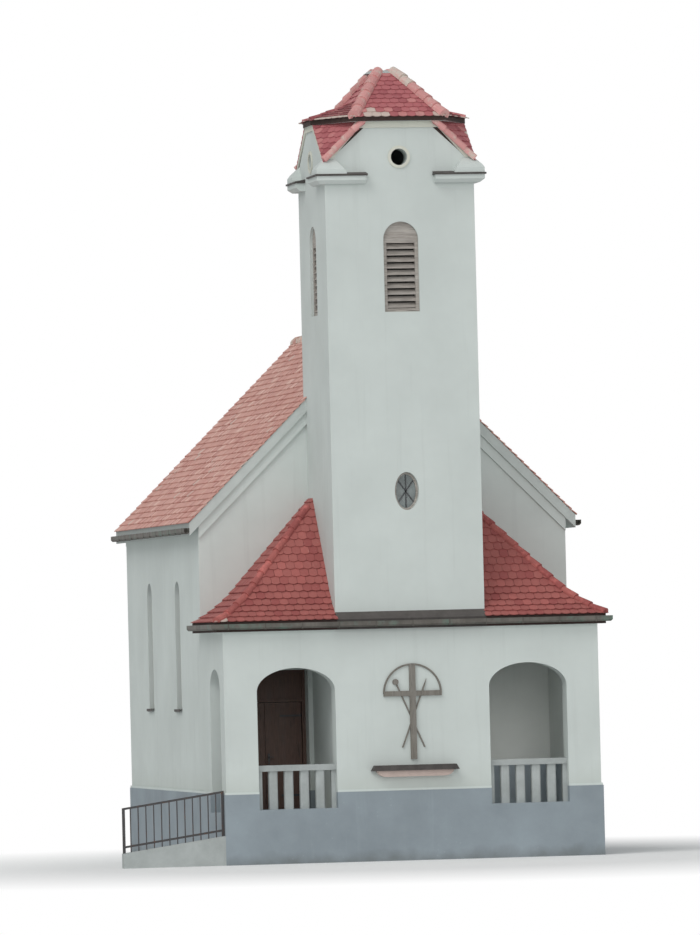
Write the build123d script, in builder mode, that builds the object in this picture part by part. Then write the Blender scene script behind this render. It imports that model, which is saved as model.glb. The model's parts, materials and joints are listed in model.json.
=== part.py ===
from build123d import *
from math import atan2, cos, degrees, radians, sin, sqrt, tan
import os

# Small hillside chapel: a nave with a steep gable roof, a square tower with a clipped-gable
# roof in front of it, and an arched porch that wraps the foot of the tower.
# Millimetres. +X is to the right as one faces the porch, +Y runs back along the nave, +Z is up.
# The origin is on the chapel's long axis, on the centre line of the porch's front wall,
# at the lowest ground.

# Levels above the lowest ground
plinth_top = 1430
floor_level = 1050
floor_thickness = 180
balustrade_foot = 1107
porch_wall_top = 4733
porch_eave_depth = 205
ceiling_thickness = 100
nave_wall_top = 6950
tower_shaft_top = 14050

# Plan
nave_half_width = 3870
nave_length = 9750
nave_wall = 500
porch_wider = 20
porch_wall = 450
tower_width = 3100
tower_wall = 450
tower_setback = 40
tower_in_nave = 260
plinth_proud = 40

# Porch openings
corner_pier = 676
arch_width = 1618
arch_spring = 3500
arch_rise = 475
side_arch_nib = 70
side_arch_width = 1230
side_arch_spring = 3550
side_arch_rise = 430

# Balustrades in the front arches
baluster_count = 4
baluster_width = 188
baluster_depth = 150
baluster_round = 40
handrail_height = 120
handrail_depth = 220
balustrade_height = 897

# Porch roof
porch_overhang = 150
porch_pitch = 48.5
eave_pitch = 26
flare_run = 890
porch_roof_thickness = 160
ledge_rise = 150

# Nave roof
nave_pitch = 45
nave_overhang = 200
nave_verge = 120
nave_roof_thickness = 190
rake_moulding_drop = 260
rake_moulding_proud = 60

# Gutters
gutter_width = 120
gutter_depth = 115
gutter_wall = 6
gutter_slant = 34
gutter_lift = 45

# Nave windows
window_width = 620
window_foot = 3090
window_height = 2750
window_first = 2950
window_spacing = 3730
window_setback = 160
glass_thickness = 24
sill_height = 60
sill_fall = 30
sill_proud = 50

# Doorway from the porch into the nave, between a narrow pier at the nave's wall and one at the tower
door_pier_left = 25
door_pier_right = 95
door_height = 2880
door_frame_face = 70
door_frame_depth = 120
transom_height = 520
transom_rail = 70
transom_panel = 40
leaf_thickness = 50
door_gap = 8
panel_margin = 95
panel_depth = 12
panel_split = 0.4
handle_level = 1050
handle_length = 130
handle_bar = 22
handle_reach = 55

# Tower openings
louvre_foot = 11188
louvre_width = 726
louvre_height = 1841
louvre_frame = 70
louvre_count = 10
louvre_depth = 120
louvre_setback = 60
slat_thickness = 25
slat_inset = 15
slat_fall = 0.6
oval_centre = 7525
oval_width = 500
oval_height = 777
oval_setback = 120
oval_frame_face = 45
oval_frame_depth = 70

# Tower head
gable_height = 1030
corner_rise = 280
corner_cut = 673
gable_wall = 350
corner_roof_thickness = 90
oculus_height = 300
oculus_diameter = 340
oculus_ring = 60
gable_band = 130
gable_band_proud = 28
cornice_length = 830
cornice_height = 160
cornice_proud = 195
cornice_foot_proud = 110
cornice_foot_rise = 70
cover_height = 80
cover_edge = 35
cover_lip = 30
kneeler_length = 430
kneeler_edge = 60
kneeler_shoulder = 45
kneeler_shoulder_rise = 130
helm_overhang = 150
helm_edge = 90
helm_slope_rise = 1230
helm_height = 980
helm_thickness = 180
cap_height = 62
cap_lip = 45

# Cross on the porch front
cross_foot = 2061
cross_top = 3996
cross_shaft = 125
cross_beam_level = 3400
cross_beam_length = 1200
cross_beam = 105
cross_relief = 60
arc_radius = 610
arc_bar = 34
staff_bar = 30
staff_relief = 36
staff_foot = 230
staff_foot_level = 2300
lance_tip_reach = 290
lance_tip_level = 3690
lance_blade_width = 46
lance_blade_length = 130
sponge_reach = 350
sponge_level = 3640
sponge_diameter = 120

# Ledge under the cross
ledge_half_width = 901
ledge_level = 1947
ledge_height = 110
ledge_slant = 60
ledge_depth = 240
console_half_width = 790
console_height = 125
console_round = 200
console_depth = 190

# Approach wall and railing on the left
approach_length = 2100
approach_wall_width = 250
approach_top = 600
approach_fall = 300
railing_height = 920
railing_rail = 44
railing_lift = 100
railing_bar = 22
railing_post = 60
railing_bar_count = 14

# Planes that the pieces line up with
porch_half_width = nave_half_width + porch_wider
porch_depth = tower_setback + tower_width - tower_in_nave
front_y = -porch_wall / 2
porch_inner_y = front_y + porch_wall
nave_front_y = front_y + porch_depth
nave_inner_y = nave_front_y + nave_wall
nave_back_y = nave_front_y + nave_length
tower_half = tower_width / 2
tower_front_y = front_y + tower_setback
tower_back_y = tower_front_y + tower_width
tower_centre_y = tower_front_y + tower_half
tower_inner = tower_half - tower_wall
porch_eave = porch_wall_top + porch_eave_depth
porch_eave_x = porch_half_width + porch_overhang
porch_eave_y = front_y - porch_overhang
porch_inner_x = porch_half_width - porch_wall
nave_inner_x = nave_half_width - nave_wall
plinth_x = porch_half_width + plinth_proud
nave_plinth_x = nave_half_width + plinth_proud
arch_centre = porch_half_width - corner_pier - arch_width / 2
door_left = -nave_inner_x + door_pier_left
door_right = -tower_half - door_pier_right
door_head = floor_level + door_height
tower_clip_level = tower_shaft_top + gable_height
clip_half_width = tower_half - corner_cut
louvre_spring = louvre_foot + louvre_height - louvre_width / 2

os.makedirs("parts", exist_ok=True)


def save(piece, name):
    """Label a finished piece and write its STEP file."""
    piece.label = name
    export_step(piece, f"parts/{name}.step")


def facing_front(y):
    """Upright plane across the chapel at a depth y: local x is X, local y is Z."""
    return Plane.XZ.offset(-y)


def facing_side(x):
    """Upright plane along the chapel at x: local x is Y, local y is Z."""
    return Plane.YZ.offset(x)


def slab(x0, x1, y0, y1, z0, z1, mode=Mode.ADD):
    """A plain block between two corners."""
    with Locations(((x0 + x1) / 2, (y0 + y1) / 2, (z0 + z1) / 2)):
        Box(x1 - x0, y1 - y0, z1 - z0, mode=mode)


def arch_shape(centre, width, foot, spring, rise):
    """An opening with upright sides and a half-elliptic head, in the sketch's plane."""
    half = width / 2
    with BuildLine() as outline:
        Polyline((centre + half, spring), (centre + half, foot), (centre - half, foot), (centre - half, spring))
        EllipticalCenterArc((centre, spring), half, rise, start_angle=0, arc_size=180)
    make_face(outline.edges())


def polygon_on(plane, points, also=()):
    """A flat outline through the points of a plane, and through each further set of points."""
    with BuildSketch(plane) as section:
        for corners in (points, *also):
            with BuildLine() as outline:
                Polyline(*corners, close=True)
            make_face(outline.edges())
    return section.sketch


def along_path(stops, start_plane, points):
    """An outline carried along level stops, mitred at its turns."""
    with BuildPart() as run:
        with BuildLine() as path:
            Polyline(*stops)
        sweep(polygon_on(start_plane, points), path=path.line, transition=Transition.RIGHT)
    return run.part


def on_four_sides(piece):
    """The piece of the tower's front or front-left corner, repeated round the tower's axis."""
    axis = Axis((0, tower_centre_y, 0), (0, 0, 1))
    return [piece.rotate(axis, 90 * turn) for turn in range(4)]


# Porch plinth: front and side walls below the white plaster, notched for the arches
side_arch_front = porch_inner_y + side_arch_nib
with BuildPart() as porch_plinth:
    slab(-plinth_x, plinth_x, front_y - plinth_proud, nave_front_y, 0, plinth_top)
    slab(-porch_inner_x, porch_inner_x, porch_inner_y, nave_front_y, 0, plinth_top, Mode.SUBTRACT)
    for side in (-1, 1):
        left = side * arch_centre - arch_width / 2
        slab(left, left + arch_width, front_y - plinth_proud, porch_inner_y, balustrade_foot, plinth_top,
             Mode.SUBTRACT)
    slab(-plinth_x, -porch_inner_x, side_arch_front, side_arch_front + side_arch_width, floor_level, plinth_top,
         Mode.SUBTRACT)
save(porch_plinth.part, "porch_plinth")

# Porch floor: one slab in each bay beside the tower's walls
with BuildPart() as porch_floor:
    for side in (-1, 1):
        edges = sorted((side * tower_half, side * porch_inner_x))
        slab(edges[0], edges[1], porch_inner_y, nave_front_y, floor_level - floor_thickness, floor_level)
save(porch_floor.part, "porch_floor")

# Porch front wall with its two arches
with BuildPart() as porch_front_wall:
    slab(-porch_half_width, porch_half_width, front_y, porch_inner_y, plinth_top, porch_wall_top)
    with BuildSketch(facing_front(porch_inner_y)):
        for side in (-1, 1):
            arch_shape(side * arch_centre, arch_width, plinth_top, arch_spring, arch_rise)
    extrude(amount=porch_wall, mode=Mode.SUBTRACT)
save(porch_front_wall.part, "porch_front_wall")

# Porch side walls: the entrance arch is on the left
with BuildPart() as porch_left_wall:
    slab(-porch_half_width, -porch_inner_x, porch_inner_y, nave_front_y, plinth_top, porch_wall_top)
    with BuildSketch(facing_side(-porch_half_width)):
        arch_shape(side_arch_front + side_arch_width / 2, side_arch_width, plinth_top, side_arch_spring,
                   side_arch_rise)
    extrude(amount=porch_wall, mode=Mode.SUBTRACT)
save(porch_left_wall.part, "porch_left_wall")

with BuildPart() as porch_right_wall:
    slab(porch_inner_x, porch_half_width, porch_inner_y, nave_front_y, plinth_top, porch_wall_top)
save(porch_right_wall.part, "porch_right_wall")

# Porch ceiling, one panel in each bay
with BuildPart() as porch_ceiling:
    for side in (-1, 1):
        edges = sorted((side * tower_half, side * porch_inner_x))
        slab(edges[0], edges[1], porch_inner_y, nave_front_y, porch_wall_top - ceiling_thickness, porch_wall_top)
save(porch_ceiling.part, "porch_ceiling")

# Balustrades: stout balusters under a flat handrail, with a half baluster against each pier
baluster_spacing = arch_width / (baluster_count + 1)
rail_top = balustrade_foot + balustrade_height
rail_foot = rail_top - handrail_height
rail_centre_y = front_y + porch_wall / 2
with BuildPart() as baluster_set:
    for number in range(baluster_count):
        middle = (number - (baluster_count - 1) / 2) * baluster_spacing
        slab(middle - baluster_width / 2, middle + baluster_width / 2, rail_centre_y - baluster_depth / 2,
             rail_centre_y + baluster_depth / 2, balustrade_foot, rail_foot)
    fillet(baluster_set.edges().filter_by(Axis.Z), radius=baluster_round)
    for side in (-1, 1):
        ends = sorted((side * arch_width / 2, side * (arch_width - baluster_width) / 2))
        slab(ends[0], ends[1], rail_centre_y - baluster_depth / 2, rail_centre_y + baluster_depth / 2,
             balustrade_foot, rail_foot)
    slab(-arch_width / 2, arch_width / 2, rail_centre_y - handrail_depth / 2, rail_centre_y + handrail_depth / 2,
         rail_foot, rail_top)
with BuildPart() as porch_balustrades:
    for side in (-1, 1):
        add(baluster_set.part.moved(Location((side * arch_centre, 0, 0))))
save(porch_balustrades.part, "porch_balustrades")

# Walls of the tower inside the porch, down to the ground
with BuildPart() as tower_lower_walls:
    slab(-tower_half, tower_half, porch_inner_y, tower_back_y, 0, porch_wall_top)
    slab(-tower_inner, tower_inner, porch_inner_y, tower_back_y - tower_wall, 0, porch_wall_top, Mode.SUBTRACT)
save(tower_lower_walls.part, "tower_lower_walls")


def eave_profile(plane, run, hollow_from=None):
    """Section of a bell-cast slope: a tangent flare at the eave, then a straight pitch.

    The plane starts at the eave's lower edge. With hollow_from it is the space under the slope,
    which begins that far behind the eave."""
    flare_rise = flare_run * tan(radians((porch_pitch + eave_pitch) / 2))
    top = porch_eave_depth + flare_rise + (run - flare_run) * tan(radians(porch_pitch))
    with BuildSketch(plane) as section:
        if hollow_from is None:
            with BuildLine():
                slope = Line((run, top), (flare_run, porch_eave_depth + flare_rise))
                TangentArc((flare_run, porch_eave_depth + flare_rise), (0, porch_eave_depth), tangent=slope % 1)
                Polyline((0, porch_eave_depth), (0, 0), (run, 0), (run, top))
            make_face()
        else:
            drop = porch_roof_thickness / cos(radians(porch_pitch))
            start = top - drop - (run - hollow_from) * tan(radians(porch_pitch))
            with BuildLine():
                Polyline((hollow_from, 0), (run, 0), (run, top - drop), (hollow_from, start), close=True)
            make_face()
    return section.sketch


# Porch roof: side and front slopes that meet in a hip, hollow below
side_run = porch_eave_x - tower_half
front_run = nave_front_y - porch_eave_y
side_section = Plane((-porch_eave_x, nave_front_y, porch_wall_top), x_dir=(1, 0, 0), z_dir=(0, -1, 0))
front_section = Plane((-porch_eave_x, porch_eave_y, porch_wall_top), x_dir=(0, 1, 0), z_dir=(1, 0, 0))
with BuildPart() as porch_roof_space:
    extrude(eave_profile(side_section, side_run, porch_overhang + porch_wall), amount=front_run)
    extrude(eave_profile(front_section, front_run, porch_overhang + porch_wall), amount=side_run,
            mode=Mode.INTERSECT)
with BuildPart() as porch_roof_left:
    extrude(eave_profile(side_section, side_run), amount=front_run)
    extrude(eave_profile(front_section, front_run), amount=side_run, mode=Mode.INTERSECT)
    add(porch_roof_space.part, mode=Mode.SUBTRACT)
save(porch_roof_left.part, "porch_roof_left")

with BuildPart() as porch_roof_right:
    mirror(porch_roof_left.part, about=Plane.YZ)
save(porch_roof_right.part, "porch_roof_right")

# Gutters: an open trough round the porch eave, and one along each side of the nave
trough = (
    (0, gutter_depth), (0, gutter_slant), (gutter_slant, 0), (gutter_width - gutter_slant, 0),
    (gutter_width, gutter_slant), (gutter_width, gutter_depth), (gutter_width - gutter_wall, gutter_depth),
    (gutter_width - gutter_wall, gutter_slant + gutter_wall / 2),
    (gutter_width - gutter_slant - gutter_wall / 2, gutter_wall), (gutter_slant + gutter_wall / 2, gutter_wall),
    (gutter_wall, gutter_slant + gutter_wall / 2), (gutter_wall, gutter_depth),
)
porch_gutter_foot = porch_wall_top + gutter_lift
porch_gutter = along_path(
    [(porch_eave_x, nave_front_y, porch_gutter_foot), (porch_eave_x, porch_eave_y, porch_gutter_foot),
     (-porch_eave_x, porch_eave_y, porch_gutter_foot), (-porch_eave_x, nave_front_y, porch_gutter_foot)],
    Plane((porch_eave_x, nave_front_y, porch_gutter_foot), x_dir=(1, 0, 0), z_dir=(0, -1, 0)), trough)
save(porch_gutter, "porch_gutter")

# Sheet-metal ledge between the tower's foot and the porch eave
with BuildPart() as tower_front_ledge:
    extrude(polygon_on(facing_side(-tower_half),
                       [(porch_eave_y, porch_wall_top), (tower_front_y, porch_wall_top),
                        (tower_front_y, porch_eave + ledge_rise), (porch_eave_y, porch_eave)]),
            amount=tower_width)
save(tower_front_ledge.part, "tower_front_ledge")

# Tower shaft: a square tube on the porch front wall and the lower walls
with BuildPart() as tower_shaft:
    slab(-tower_half, tower_half, tower_front_y, tower_back_y, porch_wall_top, tower_shaft_top)
    slab(-tower_inner, tower_inner, tower_front_y + tower_wall, tower_back_y - tower_wall,
         porch_wall_top, tower_shaft_top, Mode.SUBTRACT)
    with BuildSketch(facing_front(tower_back_y)):
        arch_shape(0, louvre_width, louvre_foot, louvre_spring, louvre_width / 2)
    extrude(amount=tower_width, mode=Mode.SUBTRACT)
    with BuildSketch(facing_side(-tower_half)):
        arch_shape(tower_centre_y, louvre_width, louvre_foot, louvre_spring, louvre_width / 2)
    extrude(amount=tower_width, mode=Mode.SUBTRACT)
    with BuildSketch(facing_front(tower_front_y + tower_wall)):
        with Locations((0, oval_centre)):
            Ellipse(oval_width / 2, oval_height / 2)
    extrude(amount=tower_wall, mode=Mode.SUBTRACT)
save(tower_shaft.part, "tower_shaft")

# Louvred windows: arched frame, sloping slats and a closed head
with BuildPart() as front_louvre:
    louvre_back = tower_front_y + louvre_setback + louvre_depth
    with BuildSketch(facing_front(louvre_back)):
        arch_shape(0, louvre_width, louvre_foot, louvre_spring, louvre_width / 2)
        with BuildSketch(mode=Mode.SUBTRACT):
            with Locations((0, (louvre_foot + louvre_spring) / 2)):
                Rectangle(louvre_width - 2 * louvre_frame, louvre_spring - louvre_foot - 2 * louvre_frame)
    extrude(amount=louvre_depth)
    slat_pitch = (louvre_spring - louvre_foot - 2 * louvre_frame) / louvre_count
    slat_outer_y = louvre_back - louvre_depth + slat_inset
    slat_inner_y = louvre_back - slat_inset
    for number in range(louvre_count):
        middle = louvre_foot + louvre_frame + (number + 0.5) * slat_pitch - slat_thickness / 2
        low = middle - slat_pitch * slat_fall / 2
        high = middle + slat_pitch * slat_fall / 2
        extrude(polygon_on(facing_side(-louvre_width / 2 + louvre_frame),
                           [(slat_outer_y, low), (slat_inner_y, high), (slat_inner_y, high + slat_thickness),
                            (slat_outer_y, low + slat_thickness)]),
                amount=louvre_width - 2 * louvre_frame)
with BuildPart() as tower_louvres:
    for piece in on_four_sides(front_louvre.part):
        add(piece)
save(tower_louvres.part, "tower_louvres")

# Oval window in the tower's front: a ring frame and its pane
with BuildPart() as tower_oval_frame:
    with BuildSketch(facing_front(tower_front_y + oval_setback + oval_frame_depth)):
        with Locations((0, oval_centre)):
            Ellipse(oval_width / 2, oval_height / 2)
            Ellipse(oval_width / 2 - oval_frame_face, oval_height / 2 - oval_frame_face, mode=Mode.SUBTRACT)
    extrude(amount=oval_frame_depth)
save(tower_oval_frame.part, "tower_oval_frame")

with BuildPart() as tower_oval_window:
    with BuildSketch(facing_front(tower_front_y + oval_setback + (oval_frame_depth + glass_thickness) / 2)):
        with Locations((0, oval_centre)):
            Ellipse(oval_width / 2 - oval_frame_face, oval_height / 2 - oval_frame_face)
    extrude(amount=glass_thickness)
save(tower_oval_window.part, "tower_oval_window")

# Tower head: four clipped gables, with a steep roof triangle on each corner
corner_foot = tower_shaft_top + corner_rise
corner_reach = tower_half * sqrt(2)
clip_reach = (tower_half + clip_half_width) / sqrt(2)
corner_lean = degrees(atan2(tower_clip_level - corner_foot, corner_reach - clip_reach))
gable_inner = tower_half - gable_wall
corner_angles = (45, 135, 225, 315)


def corner_plane(angle, inward):
    """Plane of a corner's steep roof, moved inward by its thickness."""
    out = (cos(radians(angle)), sin(radians(angle)))
    normal = (out[0] * sin(radians(corner_lean)), out[1] * sin(radians(corner_lean)), cos(radians(corner_lean)))
    foot = (out[0] * corner_reach, tower_centre_y + out[1] * corner_reach, corner_foot)
    return Plane(foot, z_dir=normal).offset(-inward)


with BuildPart() as tower_gables:
    slab(-tower_half, tower_half, tower_front_y, tower_back_y, tower_shaft_top, tower_clip_level)
    slab(-gable_inner, gable_inner, tower_front_y + gable_wall, tower_back_y - gable_wall,
         tower_shaft_top, tower_clip_level, Mode.SUBTRACT)
    for angle in corner_angles:
        split(bisect_by=corner_plane(angle, corner_roof_thickness), keep=Keep.BOTTOM)
    with BuildSketch(facing_front(tower_back_y)):
        with Locations((0, tower_shaft_top + oculus_height)):
            Circle(oculus_diameter / 2)
    extrude(amount=tower_width, mode=Mode.SUBTRACT)
    with BuildSketch(facing_side(-tower_half)):
        with Locations((tower_centre_y, tower_shaft_top + oculus_height)):
            Circle(oculus_diameter / 2)
    extrude(amount=tower_width, mode=Mode.SUBTRACT)
save(tower_gables.part, "tower_gables")

corner_roofs = []
for angle in corner_angles:
    with BuildPart() as corner_roof:
        slab(-tower_half, tower_half, tower_front_y, tower_back_y, tower_shaft_top, tower_clip_level)
        split(bisect_by=corner_plane(angle, 0), keep=Keep.BOTTOM)
        split(bisect_by=corner_plane(angle, corner_roof_thickness), keep=Keep.TOP)
    corner_roofs.append(corner_roof.part)
with BuildPart() as tower_corner_roofs:
    for piece in corner_roofs:
        add(piece)
save(tower_corner_roofs.part, "tower_corner_roofs")

# Raised plaster band along each gable's slopes and clipped top, and a ring round its hole
rake_run = (tower_half - clip_half_width) / (tower_clip_level - corner_foot)
rake_slant = sqrt(1 + rake_run ** 2) * gable_band
band_inner = clip_half_width + gable_band * rake_run - rake_slant
with BuildPart() as front_mouldings:
    extrude(polygon_on(facing_front(tower_front_y),
                       [(-tower_half, corner_foot), (-clip_half_width, tower_clip_level),
                        (clip_half_width, tower_clip_level), (tower_half, corner_foot),
                        (tower_half - rake_slant, corner_foot), (band_inner, tower_clip_level - gable_band),
                        (-band_inner, tower_clip_level - gable_band), (-tower_half + rake_slant, corner_foot)]),
            amount=gable_band_proud)
    with BuildSketch(facing_front(tower_front_y)):
        with Locations((0, tower_shaft_top + oculus_height)):
            Circle(oculus_diameter / 2 + oculus_ring)
            Circle(oculus_diameter / 2, mode=Mode.SUBTRACT)
    extrude(amount=gable_band_proud)
with BuildPart() as tower_gable_mouldings:
    for piece in on_four_sides(front_mouldings.part):
        add(piece)
save(tower_gable_mouldings.part, "tower_gable_mouldings")


def round_corner(arm, points):
    """A moulding that turns the tower's front-left corner, from its outline beside the wall.

    The outline's x is the distance out from the wall and its y the height over the shaft's top."""
    start = (-tower_half + arm, tower_front_y, tower_shaft_top)
    stops = [start, (-tower_half, tower_front_y, tower_shaft_top),
             (-tower_half, tower_front_y + arm, tower_shaft_top)]
    return along_path(stops, Plane(start, x_dir=(0, -1, 0), z_dir=(-1, 0, 0)), points)


# Cornice pieces round the tower's corners, their sloping metal covers, and the kneelers above
cornice_foot = -cover_height - cornice_height
cornice_outline = [(0, cornice_foot), (cornice_foot_proud, cornice_foot),
                   (cornice_proud, cornice_foot + cornice_foot_rise), (cornice_proud, -cover_height),
                   (0, -cover_height)]
with BuildPart() as tower_cornices:
    for piece in on_four_sides(round_corner(cornice_length, cornice_outline)):
        add(piece)
save(tower_cornices.part, "tower_cornices")

cover_reach = cornice_proud + cover_lip
cover_outline = [(0, -cover_height), (cover_reach, -cover_height), (cover_reach, -cover_height + cover_edge), (0, 0)]
with BuildPart() as cornice_covers:
    for piece in on_four_sides(round_corner(cornice_length + cover_lip, cover_outline)):
        add(piece)
save(cornice_covers.part, "cornice_covers")

cover_slope = (cover_height - cover_edge) / cover_reach
kneeler_outline = [(0, 0), (cornice_proud, -cornice_proud * cover_slope), (cornice_proud, kneeler_edge),
                   (cornice_proud - kneeler_shoulder, kneeler_shoulder_rise), (0, corner_rise)]
with BuildPart() as kneeler:
    add(round_corner(kneeler_length, kneeler_outline))
    for turned, foot in (((1, 0), (-tower_half + kneeler_length, tower_front_y)),
                         ((0, 1), (-tower_half, tower_front_y + kneeler_length))):
        slant = Plane((foot[0], foot[1], tower_shaft_top), z_dir=(turned[0] * corner_rise, turned[1] * corner_rise,
                                                                 kneeler_length / 2))
        split(bisect_by=slant, keep=Keep.BOTTOM)
with BuildPart() as tower_kneelers:
    for piece in on_four_sides(kneeler.part):
        add(piece)
save(tower_kneelers.part, "tower_kneelers")


def helm_section(angle, half, low, side, peak):
    """Upright pentagon through the tower's centre, turned about it."""
    turn = (cos(radians(angle)), sin(radians(angle)), 0)
    across = Plane((0, tower_centre_y, 0), x_dir=turn, z_dir=(turn[1], -turn[0], 0))
    return polygon_on(across, [(-half, low), (half, low), (half, side), (0, peak), (-half, side)])


# Helm: eight tiled slopes over the gables and corners, cut level under its cap
helm_wide = tower_half + helm_overhang
helm_narrow = clip_reach + helm_overhang
helm_eave = tower_clip_level + helm_edge
helm_peak = helm_eave + helm_slope_rise
helm_top = helm_eave + helm_height
helm_sides = ((0, helm_wide), (90, helm_wide), (45, helm_narrow), (135, helm_narrow))
space_wide = gable_inner
space_narrow = clip_reach - gable_wall
with BuildPart() as helm_space:
    for angle, full in helm_sides:
        half = space_wide if full == helm_wide else space_narrow
        side = helm_peak - helm_thickness - helm_slope_rise * half / full
        extrude(helm_section(angle, half, tower_clip_level, side, helm_peak - helm_thickness),
                amount=helm_wide, both=True, mode=Mode.ADD if angle == 0 else Mode.INTERSECT)
    slab(-helm_wide, helm_wide, tower_centre_y - helm_wide, tower_centre_y + helm_wide,
         helm_top - helm_thickness, helm_peak, Mode.SUBTRACT)
with BuildPart() as helm_body:
    for angle, half in helm_sides:
        extrude(helm_section(angle, half, tower_clip_level, helm_eave, helm_peak),
                amount=helm_wide * sqrt(2), both=True, mode=Mode.ADD if angle == 0 else Mode.INTERSECT)
with BuildPart() as tower_helm:
    add(helm_body.part)
    slab(-helm_wide, helm_wide, tower_centre_y - helm_wide, tower_centre_y + helm_wide, helm_top, helm_peak,
         Mode.SUBTRACT)
    add(helm_space.part, mode=Mode.SUBTRACT)
save(tower_helm.part, "tower_helm")

# Mortar cap over the helm's level top
cap_narrowing = cap_height * helm_wide / helm_slope_rise
cap_half = helm_wide * (1 - helm_height / helm_slope_rise) + cap_lip
with BuildPart() as helm_cap:
    with BuildSketch(Plane.XY.offset(helm_top)):
        with Locations((0, tower_centre_y)):
            RegularPolygon(cap_half, 8, major_radius=False, rotation=22.5)
    with BuildSketch(Plane.XY.offset(helm_top + cap_height)):
        with Locations((0, tower_centre_y)):
            RegularPolygon(cap_half - cap_narrowing, 8, major_radius=False, rotation=22.5)
    loft()
save(helm_cap.part, "helm_cap")

# Nave plinth, open where the tower's walls pass and cut down to the floor at the door
with BuildPart() as nave_plinth:
    slab(-nave_plinth_x, nave_plinth_x, nave_front_y, nave_back_y + plinth_proud, 0, plinth_top)
    slab(-nave_inner_x, nave_inner_x, nave_inner_y, nave_back_y - nave_wall, 0, plinth_top, Mode.SUBTRACT)
    slab(-tower_half, tower_half, nave_front_y, tower_back_y, 0, plinth_top, Mode.SUBTRACT)
    slab(door_left, door_right, nave_front_y, nave_inner_y, floor_level, plinth_top, Mode.SUBTRACT)
save(nave_plinth.part, "nave_plinth")

with BuildPart() as nave_floor:
    slab(-nave_inner_x, nave_inner_x, nave_inner_y, nave_back_y - nave_wall,
         floor_level - floor_thickness, floor_level)
save(nave_floor.part, "nave_floor")

# Gable walls follow the underside of the roof
nave_slope = tan(radians(nave_pitch))
ridge_under = nave_wall_top + nave_half_width * nave_slope


def under_roof(x):
    """Level of the roof's underside at a distance x from the ridge."""
    return ridge_under - abs(x) * nave_slope


with BuildPart() as nave_front_wall_left:
    extrude(polygon_on(facing_front(nave_inner_y),
                       [(-nave_half_width, door_head), (-tower_half, door_head),
                        (-tower_half, under_roof(tower_half)), (-nave_half_width, nave_wall_top)]),
            amount=nave_wall)
save(nave_front_wall_left.part, "nave_front_wall_left")

with BuildPart() as doorway_piers:
    slab(-nave_half_width, door_left, nave_front_y, nave_inner_y, plinth_top, door_head)
    slab(door_right, -tower_half, nave_front_y, nave_inner_y, plinth_top, door_head)
save(doorway_piers.part, "doorway_piers")

with BuildPart() as nave_front_wall_right:
    extrude(polygon_on(facing_front(nave_inner_y),
                       [(nave_half_width, plinth_top), (tower_half, plinth_top),
                        (tower_half, under_roof(tower_half)), (nave_half_width, nave_wall_top)]),
            amount=nave_wall)
save(nave_front_wall_right.part, "nave_front_wall_right")

with BuildPart() as nave_rear_wall:
    extrude(polygon_on(facing_front(nave_back_y),
                       [(-nave_half_width, plinth_top), (nave_half_width, plinth_top),
                        (nave_half_width, nave_wall_top), (0, ridge_under), (-nave_half_width, nave_wall_top)]),
            amount=nave_wall)
save(nave_rear_wall.part, "nave_rear_wall")

# Mouldings under the verges: two on the front wall beside the tower, one over the rear gable
with BuildPart() as nave_rake_mouldings:
    for side in (-1, 1):
        extrude(polygon_on(facing_front(nave_front_y),
                           [(side * nave_half_width, nave_wall_top), (side * tower_half, under_roof(tower_half)),
                            (side * tower_half, under_roof(tower_half) - rake_moulding_drop),
                            (side * nave_half_width, nave_wall_top - rake_moulding_drop)]),
                amount=rake_moulding_proud)
    extrude(polygon_on(facing_front(nave_back_y + rake_moulding_proud),
                       [(-nave_half_width, nave_wall_top), (0, ridge_under), (nave_half_width, nave_wall_top),
                        (nave_half_width, nave_wall_top - rake_moulding_drop),
                        (0, ridge_under - rake_moulding_drop),
                        (-nave_half_width, nave_wall_top - rake_moulding_drop)]),
            amount=rake_moulding_proud)
save(nave_rake_mouldings.part, "nave_rake_mouldings")

# Nave side walls with their tall round-headed windows
window_spring = window_foot + window_height - window_width / 2
window_places = [nave_front_y + window_first + number * window_spacing for number in range(2)]
side_wall_top = nave_wall_top + nave_wall * nave_slope
with BuildPart() as nave_left_wall:
    extrude(polygon_on(facing_front(nave_back_y - nave_wall),
                       [(-nave_half_width, plinth_top), (-nave_inner_x, plinth_top),
                        (-nave_inner_x, side_wall_top), (-nave_half_width, nave_wall_top)]),
            amount=nave_back_y - nave_wall - nave_inner_y)
    with BuildSketch(facing_side(-nave_half_width)):
        for place in window_places:
            arch_shape(place, window_width, window_foot, window_spring, window_width / 2)
    extrude(amount=nave_wall, mode=Mode.SUBTRACT)
save(nave_left_wall.part, "nave_left_wall")

with BuildPart() as nave_right_wall:
    mirror(nave_left_wall.part, about=Plane.YZ)
save(nave_right_wall.part, "nave_right_wall")

# Window glass, set back in the walls, and a sloping sill in front of each pane
with BuildPart() as left_glass:
    with BuildSketch(facing_side(-nave_half_width + window_setback)):
        for place in window_places:
            arch_shape(place, window_width, window_foot, window_spring, window_width / 2)
    extrude(amount=glass_thickness)
with BuildPart() as nave_window_glass:
    add(left_glass.part)
    mirror(left_glass.part, about=Plane.YZ)
save(nave_window_glass.part, "nave_window_glass")

with BuildPart() as left_sills:
    for place in window_places:
        extrude(polygon_on(facing_front(place + window_width / 2),
                           [(-nave_half_width - sill_proud, window_foot),
                            (-nave_half_width + window_setback, window_foot),
                            (-nave_half_width + window_setback, window_foot + sill_height),
                            (-nave_half_width - sill_proud, window_foot + sill_height - sill_fall)]),
                amount=window_width)
with BuildPart() as nave_window_sills:
    add(left_sills.part)
    mirror(left_sills.part, about=Plane.YZ)
save(nave_window_sills.part, "nave_window_sills")

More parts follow.
